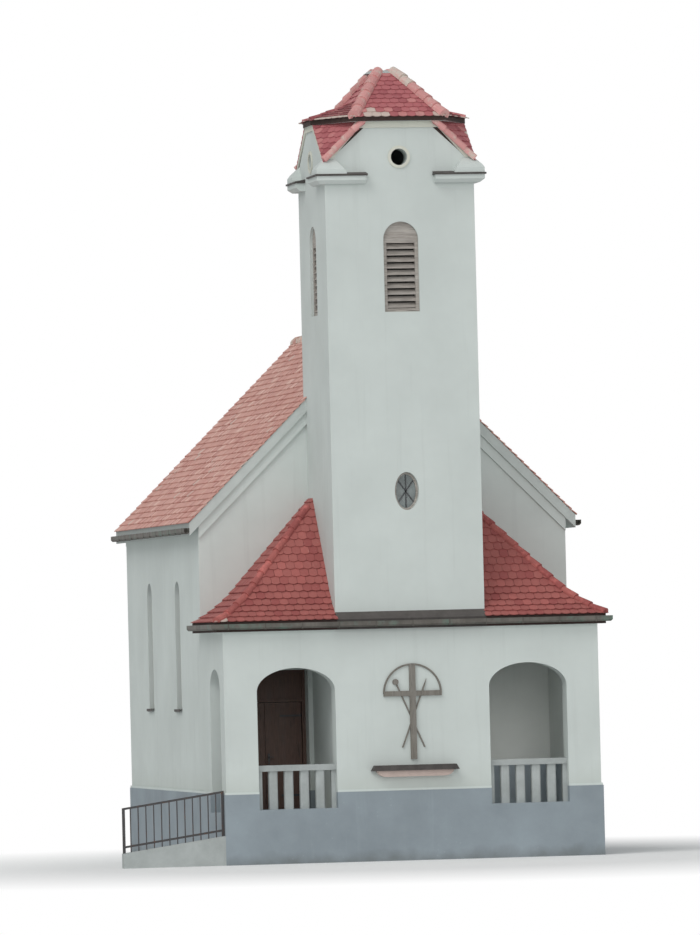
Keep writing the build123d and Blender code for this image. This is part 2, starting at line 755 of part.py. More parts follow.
# Nave roof: a slab on each side of the ridge, notched round the tower
nave_roof_drop = nave_roof_thickness / cos(radians(nave_pitch))
nave_eave_x = nave_half_width + nave_overhang
nave_roof_foot = under_roof(nave_eave_x)
with BuildPart() as nave_roof_left:
    extrude(polygon_on(facing_front(nave_back_y + nave_verge),
                       [(0, ridge_under), (-nave_eave_x, nave_roof_foot),
                        (-nave_eave_x, nave_roof_foot + nave_roof_drop), (0, ridge_under + nave_roof_drop)]),
            amount=nave_length + 2 * nave_verge)
    slab(-tower_half, 0, tower_front_y, tower_back_y, porch_wall_top, tower_shaft_top, Mode.SUBTRACT)
save(nave_roof_left.part, "nave_roof_left")

with BuildPart() as nave_roof_right:
    mirror(nave_roof_left.part, about=Plane.YZ)
save(nave_roof_right.part, "nave_roof_right")

nave_gutter_foot = nave_roof_foot + gutter_lift
nave_gutter_start = (nave_eave_x, nave_back_y + nave_verge, nave_gutter_foot)
nave_gutter_right = along_path(
    [nave_gutter_start, (nave_eave_x, nave_front_y - nave_verge, nave_gutter_foot)],
    Plane(nave_gutter_start, x_dir=(1, 0, 0), z_dir=(0, -1, 0)), trough)
with BuildPart() as nave_gutters:
    add(nave_gutter_right)
    mirror(nave_gutter_right, about=Plane.YZ)
save(nave_gutters.part, "nave_gutters")

# Door frame with a closed panel over the door, and two panelled leaves that open into the nave
panel_top = door_head - door_frame_face
transom_foot = panel_top - transom_height - transom_rail
leaf_foot = floor_level + door_gap
leaf_top = transom_foot - door_gap
leaf_width = (door_right - door_left - 2 * door_frame_face - 3 * door_gap) / 2
leaf_front_y = nave_inner_y - leaf_thickness
with BuildPart() as door_frame:
    slab(door_left, door_right, nave_inner_y - door_frame_depth, nave_inner_y, floor_level, door_head)
    slab(door_left + door_frame_face, door_right - door_frame_face, nave_inner_y - door_frame_depth, nave_inner_y,
         floor_level, transom_foot, Mode.SUBTRACT)
    transom_sunk = (door_frame_depth - transom_panel) / 2
    for face_y in (nave_inner_y - door_frame_depth, nave_inner_y - transom_sunk):
        slab(door_left + door_frame_face, door_right - door_frame_face, face_y, face_y + transom_sunk,
             transom_foot + transom_rail, panel_top, Mode.SUBTRACT)
save(door_frame.part, "door_frame")


def panelled_leaf(left):
    """A door leaf with a short panel below a tall one, sunk into both faces."""
    panel_break = leaf_foot + (leaf_top - leaf_foot) * panel_split
    right = left + leaf_width
    slab(left, right, leaf_front_y, nave_inner_y, leaf_foot, leaf_top)
    for low, high in ((leaf_foot + panel_margin, panel_break - panel_margin / 2),
                      (panel_break + panel_margin / 2, leaf_top - panel_margin)):
        slab(left + panel_margin, right - panel_margin, leaf_front_y, leaf_front_y + panel_depth, low, high,
             Mode.SUBTRACT)
        slab(left + panel_margin, right - panel_margin, nave_inner_y - panel_depth, nave_inner_y, low, high,
             Mode.SUBTRACT)


hinge_left = door_left + door_frame_face + door_gap
hinge_right = door_right - door_frame_face - door_gap
with BuildPart() as door_leaf_left:
    panelled_leaf(hinge_left)
save(door_leaf_left.part, "door_leaf_left")

with BuildPart() as door_leaf_right:
    panelled_leaf(hinge_right - leaf_width)
    handle_x = hinge_right - leaf_width + panel_margin / 2
    handle_z = floor_level + handle_level
    slab(handle_x - handle_bar / 2, handle_x + handle_bar / 2, leaf_front_y - handle_reach, leaf_front_y,
         handle_z, handle_z + handle_bar)
    slab(handle_x - handle_bar / 2, handle_x + handle_length, leaf_front_y - handle_reach,
         leaf_front_y - handle_reach + handle_bar, handle_z, handle_z + handle_bar)
save(door_leaf_right.part, "door_leaf_right")

# Cross on the front wall, with an arc over its beam and two staffs that cross its shaft
staff_slant = staff_bar / 2
with BuildPart() as wall_cross:
    with BuildSketch(facing_front(front_y)):
        with Locations((0, (cross_foot + cross_top) / 2)):
            Rectangle(cross_shaft, cross_top - cross_foot)
        with Locations((0, cross_beam_level)):
            Rectangle(cross_beam_length, cross_beam)
    extrude(amount=cross_relief)
    with BuildSketch(facing_front(front_y)):
        with Locations((0, cross_beam_level)):
            Circle(arc_radius)
            Circle(arc_radius - arc_bar, mode=Mode.SUBTRACT)
            with Locations((0, -arc_radius)):
                Rectangle(2 * arc_radius, 2 * arc_radius, mode=Mode.SUBTRACT)
    extrude(amount=staff_relief)
    blade_foot = lance_tip_level - lance_blade_length
    blade_reach = lance_tip_reach - lance_blade_width
    extrude(polygon_on(facing_front(front_y),
                       [(-staff_foot - staff_slant, staff_foot_level), (-staff_foot + staff_slant, staff_foot_level),
                        (blade_reach + staff_slant, blade_foot), (lance_tip_reach, lance_tip_level),
                        (blade_reach - staff_slant, blade_foot)]),
            amount=staff_relief)
    extrude(polygon_on(facing_front(front_y),
                       [(staff_foot - staff_slant, staff_foot_level), (staff_foot + staff_slant, staff_foot_level),
                        (-sponge_reach + staff_slant, sponge_level), (-sponge_reach - staff_slant, sponge_level)]),
            amount=staff_relief)
    with BuildSketch(facing_front(front_y)):
        with Locations((-sponge_reach, sponge_level)):
            Circle(sponge_diameter / 2)
    extrude(amount=cross_relief)
save(wall_cross.part, "wall_cross")

# Ledge under the cross: a metal-covered board with slanted ends on a rounded console
with BuildPart() as cross_ledge:
    extrude(polygon_on(facing_front(front_y),
                       [(-ledge_half_width, ledge_level - ledge_height), (ledge_half_width, ledge_level - ledge_height),
                        (ledge_half_width - ledge_slant, ledge_level), (-ledge_half_width + ledge_slant, ledge_level)]),
            amount=ledge_depth)
save(cross_ledge.part, "cross_ledge")

with BuildPart() as ledge_console:
    console_top = ledge_level - ledge_height
    with BuildSketch(facing_front(front_y)):
        with BuildLine() as underside:
            Line((-console_half_width, console_top), (console_half_width, console_top))
            for side in (-1, 1):
                EllipticalCenterArc((side * (console_half_width - console_round), console_top), console_round,
                                    console_height, start_angle=270 if side == 1 else 180, arc_size=90)
            Line((-console_half_width + console_round, console_top - console_height),
                 (console_half_width - console_round, console_top - console_height))
        make_face(underside.edges())
    extrude(amount=console_depth)
save(ledge_console.part, "ledge_console")

# Approach wall and its railing beside the entrance
approach_right = -plinth_x
approach_left = approach_right - approach_length
approach_front = front_y - plinth_proud
with BuildPart() as approach_wall:
    extrude(polygon_on(facing_front(approach_front + approach_wall_width),
                       [(approach_left, 0), (approach_right, 0), (approach_right, approach_top),
                        (approach_left, approach_top - approach_fall)]),
            amount=approach_wall_width)
save(approach_wall.part, "approach_wall")


def wall_level(x):
    """Level of the approach wall's sloping top."""
    return approach_top - approach_fall * (approach_right - x) / approach_length


def sloping_bar(x0, x1, low, high):
    """A flat bar whose two ends are upright and whose edges follow the wall's top."""
    with BuildLine() as outline:
        Polyline((x0, wall_level(x0) + low), (x1, wall_level(x1) + low),
                 (x1, wall_level(x1) + high), (x0, wall_level(x0) + high), close=True)
    make_face(outline.edges())


rail_y = approach_front + approach_wall_width / 2
bar_step = (approach_length - railing_bar) / (railing_bar_count - 1)
with BuildPart() as approach_railing:
    with BuildSketch(facing_front(rail_y + railing_bar / 2)):
        sloping_bar(approach_left, approach_right, railing_lift, railing_lift + railing_rail)
        sloping_bar(approach_left, approach_right, railing_height - railing_rail, railing_height)
        for number in range(railing_bar_count):
            start = approach_left + number * bar_step
            sloping_bar(start, start + railing_bar, 0, railing_height - railing_rail)
        for start in (approach_left, approach_right - railing_post):
            sloping_bar(start, start + railing_post, 0, railing_height)
    extrude(amount=railing_bar)
save(approach_railing.part, "approach_railing")
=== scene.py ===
"""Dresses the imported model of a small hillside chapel: roof tiles, plaster, windows and fittings.

Everything is in metres. +X is to the right as one faces the porch, +Y runs back along the nave, +Z is up.
"""

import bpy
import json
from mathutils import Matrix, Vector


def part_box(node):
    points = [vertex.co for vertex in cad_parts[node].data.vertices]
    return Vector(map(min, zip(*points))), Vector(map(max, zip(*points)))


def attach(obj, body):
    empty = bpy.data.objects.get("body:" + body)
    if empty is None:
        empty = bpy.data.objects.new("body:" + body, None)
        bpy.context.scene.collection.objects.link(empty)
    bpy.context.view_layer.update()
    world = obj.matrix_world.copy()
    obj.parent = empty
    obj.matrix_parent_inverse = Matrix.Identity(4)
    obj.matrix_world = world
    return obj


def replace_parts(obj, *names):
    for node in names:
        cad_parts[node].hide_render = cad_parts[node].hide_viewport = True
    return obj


bl_info = {
    "name": "Small Chapel",
    "version": (1, 0, 0),
    "blender": (4, 5, 0),
    "location": "3D View > Sidebar > Chapel",
    "description": "Tiles, plaster, windows and fittings for the packed model of a small chapel",
    "category": "Add Mesh",
}

import json
import random
from collections import namedtuple
from math import atan2, ceil, cos, pi, radians, sin, sqrt, tan

import bmesh
import bpy
from bmesh.types import BMEdge, BMFace, BMVert
from bpy.props import FloatProperty, FloatVectorProperty, PointerProperty
from mathutils import Matrix, Vector

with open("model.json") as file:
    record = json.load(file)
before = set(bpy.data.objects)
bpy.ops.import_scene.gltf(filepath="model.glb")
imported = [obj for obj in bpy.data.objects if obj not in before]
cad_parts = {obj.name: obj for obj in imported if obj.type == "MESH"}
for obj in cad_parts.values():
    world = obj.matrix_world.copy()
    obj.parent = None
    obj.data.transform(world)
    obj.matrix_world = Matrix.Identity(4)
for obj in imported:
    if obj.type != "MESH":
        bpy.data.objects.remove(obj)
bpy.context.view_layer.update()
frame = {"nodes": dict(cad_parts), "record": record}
porch_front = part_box("porch_front_wall")[0].y

UP = Vector((0, 0, 1))
BACK = Vector((0, 1, 0))
WHITE = (1.0, 1.0, 1.0, 1.0)
BODY = "chapel"
SIDES = ((-1, "left"), (1, "right"))
CORNERS = ((-1, -1), (1, -1), (1, 1), (-1, 1))
Corner = namedtuple("Corner", "tip clip gable eave flank")

# Places this close are one place, vertices this close to a level lie on it, and faces of two solids that
# would share a plane are kept this far apart
SAME_PLACE = 1e-5
NEAR = 1e-4
HAIR = 0.004

# The share of its place that a plain tile fills, the depth of its rounded edge, and the overhang at a foot
TILE_FILL = 0.97
TILE_BOW = 0.035
TILE_OVERHANG = 0.04
# A tile's lift over the roof's solid and over the course below, in thicknesses
TILE_LIFT = 1.35
TILE_STEP = 1.2
# How unevenly tiles lie, tipped and turned, in radians
TILE_TILT = 0.006
TILE_SWING = 0.012
# The tone that shows as lime, and the share of a limed first course that has it
LIMED_TONE = 1.0
LIMED_SHARE = 0.6
# How half-round tiles tip, one over the next, and how deep they sit, as a share of their radius
HIP_TILT = 0.045
HALF_ROUND_SINK = 0.25
# How far tiles run past an edge and ridge lines sit off it, and how far the helm's edges sit off theirs
EDGE = 0.02
SEAT = 0.01
# How far courses start outside their slope, along an eave and round the porch's corners, before they are cut
SPARE = 0.15
CORNER_LAP = 0.3
# How far the nave's tiles reach under the tower's faces
TOWER_JOINT = 0.05
# A distance down from a roof that ends inside the tower
WELL_INSIDE = 5

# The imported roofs' slopes: the porch's flares over the first run from its eave, and its eave has a depth
NAVE_PITCH = radians(45)
PORCH_EAVE_PITCH = radians(26)
PORCH_PITCH = radians(48.5)
PORCH_FLARE = 0.89
PORCH_EAVE_DEPTH = 0.205
# The tiles on the porch's hips: the length that shows, and the most that one hip could have
HIP_STEP = 0.30
HIP_STOPS = 16

# The nave's windows: where they are along the nave, half their width, their foot and their head's spring
WINDOW_PLACES = (5.605, 9.335)
WINDOW_HALF = 0.31
WINDOW_FOOT = 3.09
WINDOW_SPRING = 5.53
# The plinth's and the dado's tops, and the sides of the porch's openings at the front and on the left
PLINTH_TOP = 1.43
DADO_TOP = 1.95
ARCHES_INNER = 1.596
ARCHES_OUTER = 3.214
ENTRANCE_FRONT = 0.295
ENTRANCE_BACK = 1.525


# Settings


def colour(label, note, default):
    """A colour setting."""
    return FloatVectorProperty(name=label, description=note, default=default, subtype="COLOR", size=3,
                               min=0, max=1)


def length(label, note, default, low=0.0):
    """A length setting in metres."""
    return FloatProperty(name=label, description=note, default=default, unit="LENGTH", min=low)


def angle(label, note, degrees):
    """An angle setting, with its default in degrees."""
    return FloatProperty(name=label, description=note, default=radians(degrees), unit="ROTATION")


def amount(label, note, default, low=0.0):
    """A setting without a unit."""
    return FloatProperty(name=label, description=note, default=default, min=low)


class ChapelStudio(bpy.types.PropertyGroup):
    """Camera, floor and light."""

    azimuth: angle("Azimuth", "Where the camera stands, to the left of the chapel's axis", 10.757)
    distance: length("Distance", "From the middle of the porch front to the camera", 167.34, 1.0)
    height: length("Height", "Of the camera over the lowest ground", 4.306)
    roll: angle("Roll", "Lean of the camera to one side", 1.403)
    lens: amount("Lens", "Focal length in millimetres", 316.0, 1.0)
    aim: FloatVectorProperty(name="Aim", description="The point in the middle of the picture",
                             default=(-0.587, 3.0, 8.1), subtype="XYZ", unit="LENGTH")
    floor_colour: colour("Floor", "Colour of the studio floor", (0.93, 0.93, 0.93))
    sky: amount("Sky light", "Strength of the light from all round", 0.40)
    lamp: amount("Lamp", "Strength of the soft lamp from the left", 1.15)
    low_lamp: amount("Low lamp", "Strength of the lamp that shines into the porch", 0.72)


class ChapelTiles(bpy.types.PropertyGroup):
    """Sizes and colours of the clay tiles."""

    width: length("Tile width", "Width of a plain tile", 0.18, 0.05)
    thickness: length("Tile thickness", "Thickness of a plain tile", 0.018, 0.005)
    nave_course: length("Nave course", "Height of tile that shows in the nave's courses", 0.175, 0.05)
    porch_course: length("Porch course", "Height of tile that shows in the porch's courses", 0.205, 0.05)
    tower_course: length("Tower course", "Height of tile that shows in the tower's courses", 0.17, 0.05)
    side_peak: length("Side gable", "Height of the side gables' tops over the front gable's top", 0.05)
    side_half: length("Side gable half", "Half the level top of the side gables", 0.435)
    skirt_rise: length("Skirt rise", "Height over the eave that the skirt's slopes aim at", 0.58)
    side_overhang: length("Side overhang", "Of the helm beyond the tower's sides", 0.07)
    hip_radius: length("Hip tile radius", "Radius that the half-round tiles' sizes are shares of", 0.11, 0.02)
    hip_length: length("Hip tile length", "Length of half-round tile that shows", 0.33, 0.1)
    red: colour("Red tile", "Middle tone of the porch's tiles", (0.355, 0.112, 0.100))
    dark_red: colour("Dark red tile", "Darkest tone of the porch's tiles", (0.300, 0.078, 0.074))
    coral: colour("Coral tile", "Lightest tone of the porch's tiles", (0.41, 0.125, 0.112))
    helm: colour("Helm tile", "Middle tone of the tower's tiles", (0.45, 0.145, 0.155))
    helm_dark: colour("Dark helm tile", "Darkest tone of the tower's tiles", (0.32, 0.085, 0.098))
    helm_light: colour("Light helm tile", "Lightest tone of the tower's tiles", (0.60, 0.26, 0.25))
    helm_hip: colour("Helm hip tile", "Faded tone of the helm's hips and the verges", (0.56, 0.27, 0.26))
    # The eave boards are real; their near-black colour is also painted shade under the eaves.
    eave_boards_and_shade: colour("Eave boards", "Dark boards at the edges of the red roofs", (0.050, 0.032, 0.028))
    pale: colour("Pale tile", "Middle tone of the nave's tiles", (0.619, 0.338, 0.288))
    pale_dark: colour("Dark pale tile", "Darkest tone of the nave's tiles", (0.469, 0.206, 0.172))
    pale_light: colour("Light pale tile", "Lightest tone of the nave's tiles", (0.758, 0.525, 0.459))
    mortar: colour("Mortar", "Mortar and lime on hip tiles", (0.60, 0.53, 0.47))


class ChapelWalls(bpy.types.PropertyGroup):
    """Colours of the walls and stone."""

    plaster: colour("Plaster", "White lime plaster", (0.590, 0.640, 0.620))
    cream: colour("Cream plaster", "Bands round the tower's gables", (0.630, 0.640, 0.565))
    plinth: colour("Plinth", "Blue-grey paint of the plinth", (0.262, 0.305, 0.335))
    stone: colour("Floor stone", "Slabs of the floors", (0.36, 0.34, 0.31))
    concrete: colour("Light concrete", "Handrails, sills and the helm's cap", (0.39, 0.42, 0.415))
    # Painted light: a lighter copy of the plaster, for the shaded walls of the porch's right bay.
    limewash: colour("Lit bay plaster", "Walls in the porch's right bay", (0.84, 0.87, 0.84))
    pink: colour("Pink stone", "Console under the cross", (0.52, 0.42, 0.38))
    drip: length("Drip edge", "Height of the plaster's edge over the plinth", 0.045, 0.01)


class ChapelFittings(bpy.types.PropertyGroup):
    """Colours and sizes of wood, metal and glass."""

    door: colour("Door", "Dark brown wood of the door", (0.085, 0.040, 0.026))
    louvre: colour("Louvres", "Weathered wood of the tower's louvres", (0.36, 0.33, 0.30))
    cross: colour("Cross", "Weathered wood of the cross", (0.185, 0.172, 0.150))
    metal: colour("Dark metal", "Sheet metal of ledges and covers", (0.062, 0.056, 0.053))
    gutter: colour("Gutter", "Weathered copper of the gutters", (0.115, 0.107, 0.095))
    iron: colour("Iron", "Bars and fittings", (0.035, 0.034, 0.036))
    # The glass's dark colour is painted shade of the unlit room behind it.
    glass: colour("Glass", "Tint of the window glass", (0.09, 0.115, 0.115))
    window_bar: length("Window bar", "Face of the bars in the windows", 0.028, 0.01)
    frame_face: length("Window frame", "Face of the windows' frames", 0.05, 0.01)


# Finishes


class Link:
    """A node's output that takes part in arithmetic by adding Math nodes."""

    def __init__(self, nodes, socket):
        self.nodes = nodes
        self.socket = socket

    def __add__(self, other):
        return self.nodes.math("ADD", self, other)

    def __sub__(self, other):
        return self.nodes.math("SUBTRACT", self, other)

    def __mul__(self, other):
        return self.nodes.math("MULTIPLY", self, other)

    def __radd__(self, other):
        return self.nodes.math("ADD", other, self)

    def __rsub__(self, other):
        return self.nodes.math("SUBTRACT", other, self)

    def __rmul__(self, other):
        return self.nodes.math("MULTIPLY", other, self)


class Nodes:
    """The nodes of a material or of the world being put together."""

    def __init__(self, owner):
        self.owner = owner
        owner.use_nodes = True
        self.tree = owner.node_tree
        self.tree.nodes.clear()

    def node(self, kind, settings=None, values=None, output=0):
        """Add a node: its settings first, then the values or links of its sockets."""
        made = self.tree.nodes.new(kind)
        for key, value in (settings or {}).items():
            if key == "stops":
                while len(made.color_ramp.elements) < len(value):
                    made.color_ramp.elements.new(1.0)
                for element, (position, tone) in zip(made.color_ramp.elements, value):
                    element.position = position
                    element.color = (*tone, 1.0)
            else:
                setattr(made, key, value)
        for key, value in (values or {}).items():
            if isinstance(value, Link):
                self.tree.links.new(value.socket, made.inputs[key])
            else:
                made.inputs[key].default_value = value
        return Link(self, made.outputs[output]) if len(made.outputs) else None

    def math(self, operation, first, second=0.0, clamp=False):
        """A sum on values."""
        return self.node("ShaderNodeMath", {"operation": operation, "use_clamp": clamp},
                         {0: first, 1: second})

    def grade(self, value, low, high):
        """0 at low, 1 at high, and straight between them."""
        return self.math("MULTIPLY", value - low, 1.0 / (high - low), clamp=True)

    def larger(self, first, second):
        """The larger of two values."""
        return self.math("MAXIMUM", first, second)


class Finish(Nodes):
    """A material being put together."""

    def __init__(self, name):
        super().__init__(bpy.data.materials.new(name))
        self.place = self.node("ShaderNodeTexCoord", output="Object")

    def spread(self, scales):
        """The surface's place, drawn out by a factor on each axis."""
        return self.node("ShaderNodeVectorMath", {"operation": "MULTIPLY"}, {0: self.place, 1: scales})

    def noise(self, scale, detail=3.0, rough=0.5, stretch=None):
        """Soft noise from 0 to 1."""
        place = self.spread(stretch) if stretch else self.place
        return self.node("ShaderNodeTexNoise", None,
                         {"Vector": place, "Scale": scale, "Detail": detail, "Roughness": rough}, "Fac")

    def specks(self, scale, size):
        """Small round marks on a random grid: 1 in their middle, 0 outside."""
        distance = self.node("ShaderNodeTexVoronoi", None, {"Vector": self.place, "Scale": scale}, "Distance")
        return self.grade(distance, size, size * 0.5)

    def upward(self, vector):
        """The upward part of a place or a direction."""
        return self.node("ShaderNodeSeparateXYZ", None, {0: vector}, "Z")

    def level(self):
        """The height of the surface's place."""
        return self.upward(self.place)

    def facing_up(self):
        """How far the surface looks up: 1 for a floor, 0 for a wall, -1 for a ceiling."""
        return self.upward(self.node("ShaderNodeNewGeometry", output="Normal"))

    def own(self, name):
        """A value that the piece's mesh carries."""
        return self.node("ShaderNodeAttribute", {"attribute_name": name}, None, "Fac")

    def rgba(self, tone):
        """A colour as a socket takes it, or the link that gives one."""
        return tone if isinstance(tone, Link) else (*tone[:3], 1.0)

    def mix(self, first, second, factor):
        """One colour over another."""
        return self.node("ShaderNodeMix", {"data_type": "RGBA", "clamp_factor": True},
                         {0: factor, 6: self.rgba(first), 7: self.rgba(second)}, 2)

    def ramp(self, value, stops):
        """Colours along a value."""
        return self.node("ShaderNodeValToRGB", {"stops": stops}, {0: value}, "Color")

    def bump(self, height, strength, reach, onto=None):
        """A relief in metres, on top of another one."""
        values = {"Height": height, "Strength": strength, "Distance": reach}
        if onto is not None:
            values["Normal"] = onto
        return self.node("ShaderNodeBump", None, values)

    def finish(self, tone, rough, normal, metallic=0.0, specular=0.5):
        """Close the material with its surface shader."""
        shader = self.node("ShaderNodeBsdfPrincipled", None, {
            "Base Color": self.rgba(tone), "Roughness": rough, "Normal": normal, "Metallic": metallic,
            "Specular IOR Level": specular})
        self.node("ShaderNodeOutputMaterial", None, {"Surface": shader})
        return self.owner


def shade(tone, factor):
    """A colour made lighter or darker."""
    return tuple(min(1.0, part * factor) for part in tone)


def plaster_finish(name, tone, foot=PLINTH_TOP):
    """Lime plaster: cloudy, streaked by rain, dusty at its foot, grained, and darker on faces that look down
    as painted shade.
    """
    f = Finish(name)
    clouds = f.noise(0.55, 4.0, 0.6)
    body = f.mix(shade(tone, 0.93), shade(tone, 1.04), f.grade(clouds, 0.3, 0.7))
    streaks = f.noise(1.0, 4.0, 0.65, (5.0, 5.0, 0.22))
    body = f.mix(body, shade(tone, 0.82), f.grade(streaks, 0.56, 0.80) * 0.45)
    splash = f.grade(f.level() + f.noise(2.5, 3.0) * 0.5, foot + 0.75, foot + 0.1)
    body = f.mix(body, (tone[0] * 0.80, tone[1] * 0.80, tone[2] * 0.76), splash * 0.5)
    # Painted shade: faces that look down are darkened, as shade under ledges and soffits.
    painted_underside_shade = f.grade(f.facing_up(), -0.3, -0.9)
    body = f.mix(body, shade(tone, 0.9), painted_underside_shade * 0.5)
    grain = f.noise(55.0, 3.0, 0.6)
    swell = f.noise(3.2, 2.0)
    normal = f.bump(grain, 0.35, 0.003, f.bump(swell, 0.35, 0.012))
    return f.finish(body, 0.82 + f.noise(8.0) * 0.15, normal, specular=0.25)


def plinth_finish(name, tone):
    """Masonry paint on render: rolled grain, faded patches, earth splashed on its foot, and a painted
    highlight on faces that look up.
    """
    f = Finish(name)
    clouds = f.noise(0.7, 5.0, 0.62)
    body = f.mix(shade(tone, 0.86), shade(tone, 1.12), f.grade(clouds, 0.3, 0.7))
    streaks = f.noise(1.0, 4.0, 0.6, (4.0, 4.0, 0.35))
    body = f.mix(body, shade(tone, 1.35), f.grade(streaks, 0.60, 0.82) * 0.35)
    earth = f.grade(f.level() + f.noise(3.0, 4.0) * 0.45, 0.48, 0.10)
    body = f.mix(body, (0.085, 0.082, 0.062), earth * 0.55)
    # Painted highlight: faces that look up are made lighter, as if lit from above.
    top = f.grade(f.facing_up(), 0.5, 0.9)
    body = f.mix(body, shade(tone, 1.5), top * 0.6)
    chips = f.specks(7.0, 0.16) * f.grade(f.noise(1.4), 0.5, 0.62)
    body = f.mix(body, shade(tone, 1.4), chips * 0.25)
    normal = f.bump(f.noise(48.0, 3.0, 0.6), 0.5, 0.004, f.bump(f.noise(4.0), 0.4, 0.012))
    return f.finish(body, 0.72 + f.noise(9.0) * 0.2, normal, specular=0.3)


def stone_finish(name, tone, slab=0.5):
    """Stone slabs with narrow joints, worn smooth in places."""
    f = Finish(name)
    bricks = f.node("ShaderNodeTexBrick", {"offset": 0.5}, {
        "Vector": f.place, "Scale": 1.0, "Mortar Size": 0.006, "Brick Width": slab, "Row Height": slab,
        "Color1": f.rgba(shade(tone, 0.9)), "Color2": f.rgba(shade(tone, 1.1)),
        "Mortar": f.rgba(shade(tone, 0.45))}, "Color")
    body = f.mix(bricks, shade(tone, 0.7), f.grade(f.noise(14.0, 5.0, 0.7), 0.5, 0.85) * 0.7)
    normal = f.bump(f.noise(30.0, 4.0), 0.3, 0.004)
    return f.finish(body, 0.55 + f.noise(3.0) * 0.35, normal)


def concrete_finish(name, tone):
    """Cast concrete: pores, rain marks, and a top made lighter as a painted highlight."""
    f = Finish(name)
    body = f.mix(shade(tone, 0.85), shade(tone, 1.1), f.grade(f.noise(2.2, 5.0, 0.65), 0.32, 0.7))
    body = f.mix(body, shade(tone, 0.55), f.specks(38.0, 0.14) * 0.5)
    body = f.mix(body, shade(tone, 0.72), f.grade(f.noise(1.0, 3.0, 0.6, (6, 6, 0.6)), 0.58, 0.8) * 0.4)
    # Painted highlight: faces that look up are made lighter, as if lit from above.
    body = f.mix(body, shade(tone, 1.22), f.grade(f.facing_up(), 0.4, 0.9) * 0.6)
    normal = f.bump(f.noise(70.0, 3.0), 0.4, 0.002, f.bump(f.noise(6.0), 0.3, 0.006))
    return f.finish(body, 0.86, normal, specular=0.3)


def tile_finish(name, low, middle, high, mortar, lichen=0.35):
    """Fired clay: a tone for each tile, with lichen and sand grain."""
    f = Finish(name)
    tone = f.own("tone") + (f.noise(9.0, 4.0, 0.6) - 0.5) * 0.35
    body = f.ramp(tone, [(0.0, low), (0.3, middle), (0.75, middle), (1.0, high)])
    body = f.mix(body, mortar, f.grade(f.own("tone"), 0.985, 0.992) * 0.85)
    weather = f.grade(f.noise(1.1, 5.0, 0.65), 0.46, 0.72)
    body = f.mix(body, low, weather * 0.35)
    spots = f.specks(16.0, 0.20) * f.grade(f.noise(2.0), 0.48, 0.62)
    body = f.mix(body, mortar, spots * lichen)
    soot = f.grade(f.noise(1.0, 4.0, 0.6, (3.0, 3.0, 0.5)), 0.55, 0.8)
    body = f.mix(body, shade(low, 0.6), soot * 0.3)
    normal = f.bump(f.noise(120.0, 3.0), 0.35, 0.002, f.bump(f.noise(14.0), 0.35, 0.006))
    return f.finish(body, 0.62 + f.noise(6.0) * 0.28, normal, specular=0.35)


def roof_bed_finish(name, painted_shade_bed, soffit, side):
    """A roof's solid: a bed under the tiles whose dark colour is painted shade where it shows between them,
    limewashed boards beneath, and a colour for its edges.
    """
    f = Finish(name)
    down = f.grade(f.facing_up(), -0.15, -0.35)
    up = f.grade(f.facing_up(), 0.15, 0.35)
    boards = f.grade(f.noise(1.0, 3.0, 0.6, (0.6, 9.0, 0.6)), 0.35, 0.7)
    under = f.mix(shade(soffit, 0.82), soffit, boards)
    edge = f.mix(shade(side, 0.8), side, f.noise(5.0, 4.0))
    body = f.mix(edge, under, down)
    # Painted shade: faces that look up take the dark bed colour, which shows as shade between the tiles.
    body = f.mix(body, f.mix(shade(painted_shade_bed, 0.7), painted_shade_bed, f.noise(7.0, 4.0)), up)
    normal = f.bump(f.noise(40.0, 3.0), 0.4, 0.004)
    return f.finish(body, 0.85, normal, specular=0.3)


def hip_finish(name, low, high, mortar):
    """Half-round tiles bedded in mortar, bleached and spotted."""
    f = Finish(name)
    tone = f.own("tone") + (f.noise(8.0, 4.0, 0.6) - 0.5) * 0.5
    body = f.ramp(tone, [(0.0, low), (0.5, shade(high, 0.9)), (0.85, high), (1.0, mortar)])
    body = f.mix(body, mortar, f.grade(f.noise(5.0, 5.0, 0.7), 0.50, 0.68) * 0.75)
    body = f.mix(body, shade(low, 0.5), f.specks(22.0, 0.17) * 0.35)
    normal = f.bump(f.noise(60.0, 4.0), 0.5, 0.004, f.bump(f.noise(9.0), 0.5, 0.012))
    return f.finish(body, 0.8, normal, specular=0.3)


def wood_finish(name, tone, grain=(1.0, 1.0, 0.08), fade=0.4, rough=0.6):
    """Weathered wood: long grain, greyed streaks and dark checks."""
    f = Finish(name)
    fibre = f.noise(42.0, 5.0, 0.65, grain)
    body = f.mix(shade(tone, 0.62), shade(tone, 1.25), f.grade(fibre, 0.3, 0.72))
    grey = sum(tone[:3]) / 3
    pale = (grey * 1.5 + 0.03, grey * 1.45 + 0.03, grey * 1.38 + 0.025)
    body = f.mix(body, pale, f.grade(f.noise(5.0, 4.0, 0.6, grain), 0.48, 0.78) * fade)
    checks = f.grade(f.noise(30.0, 2.0, 0.5, tuple(part * 0.8 for part in grain)), 0.66, 0.74)
    body = f.mix(body, shade(tone, 0.3), checks * 0.7)
    normal = f.bump(fibre, 0.5, 0.002, f.bump(checks, 0.4, -0.002))
    return f.finish(body, rough + f.noise(11.0) * 0.2, normal)


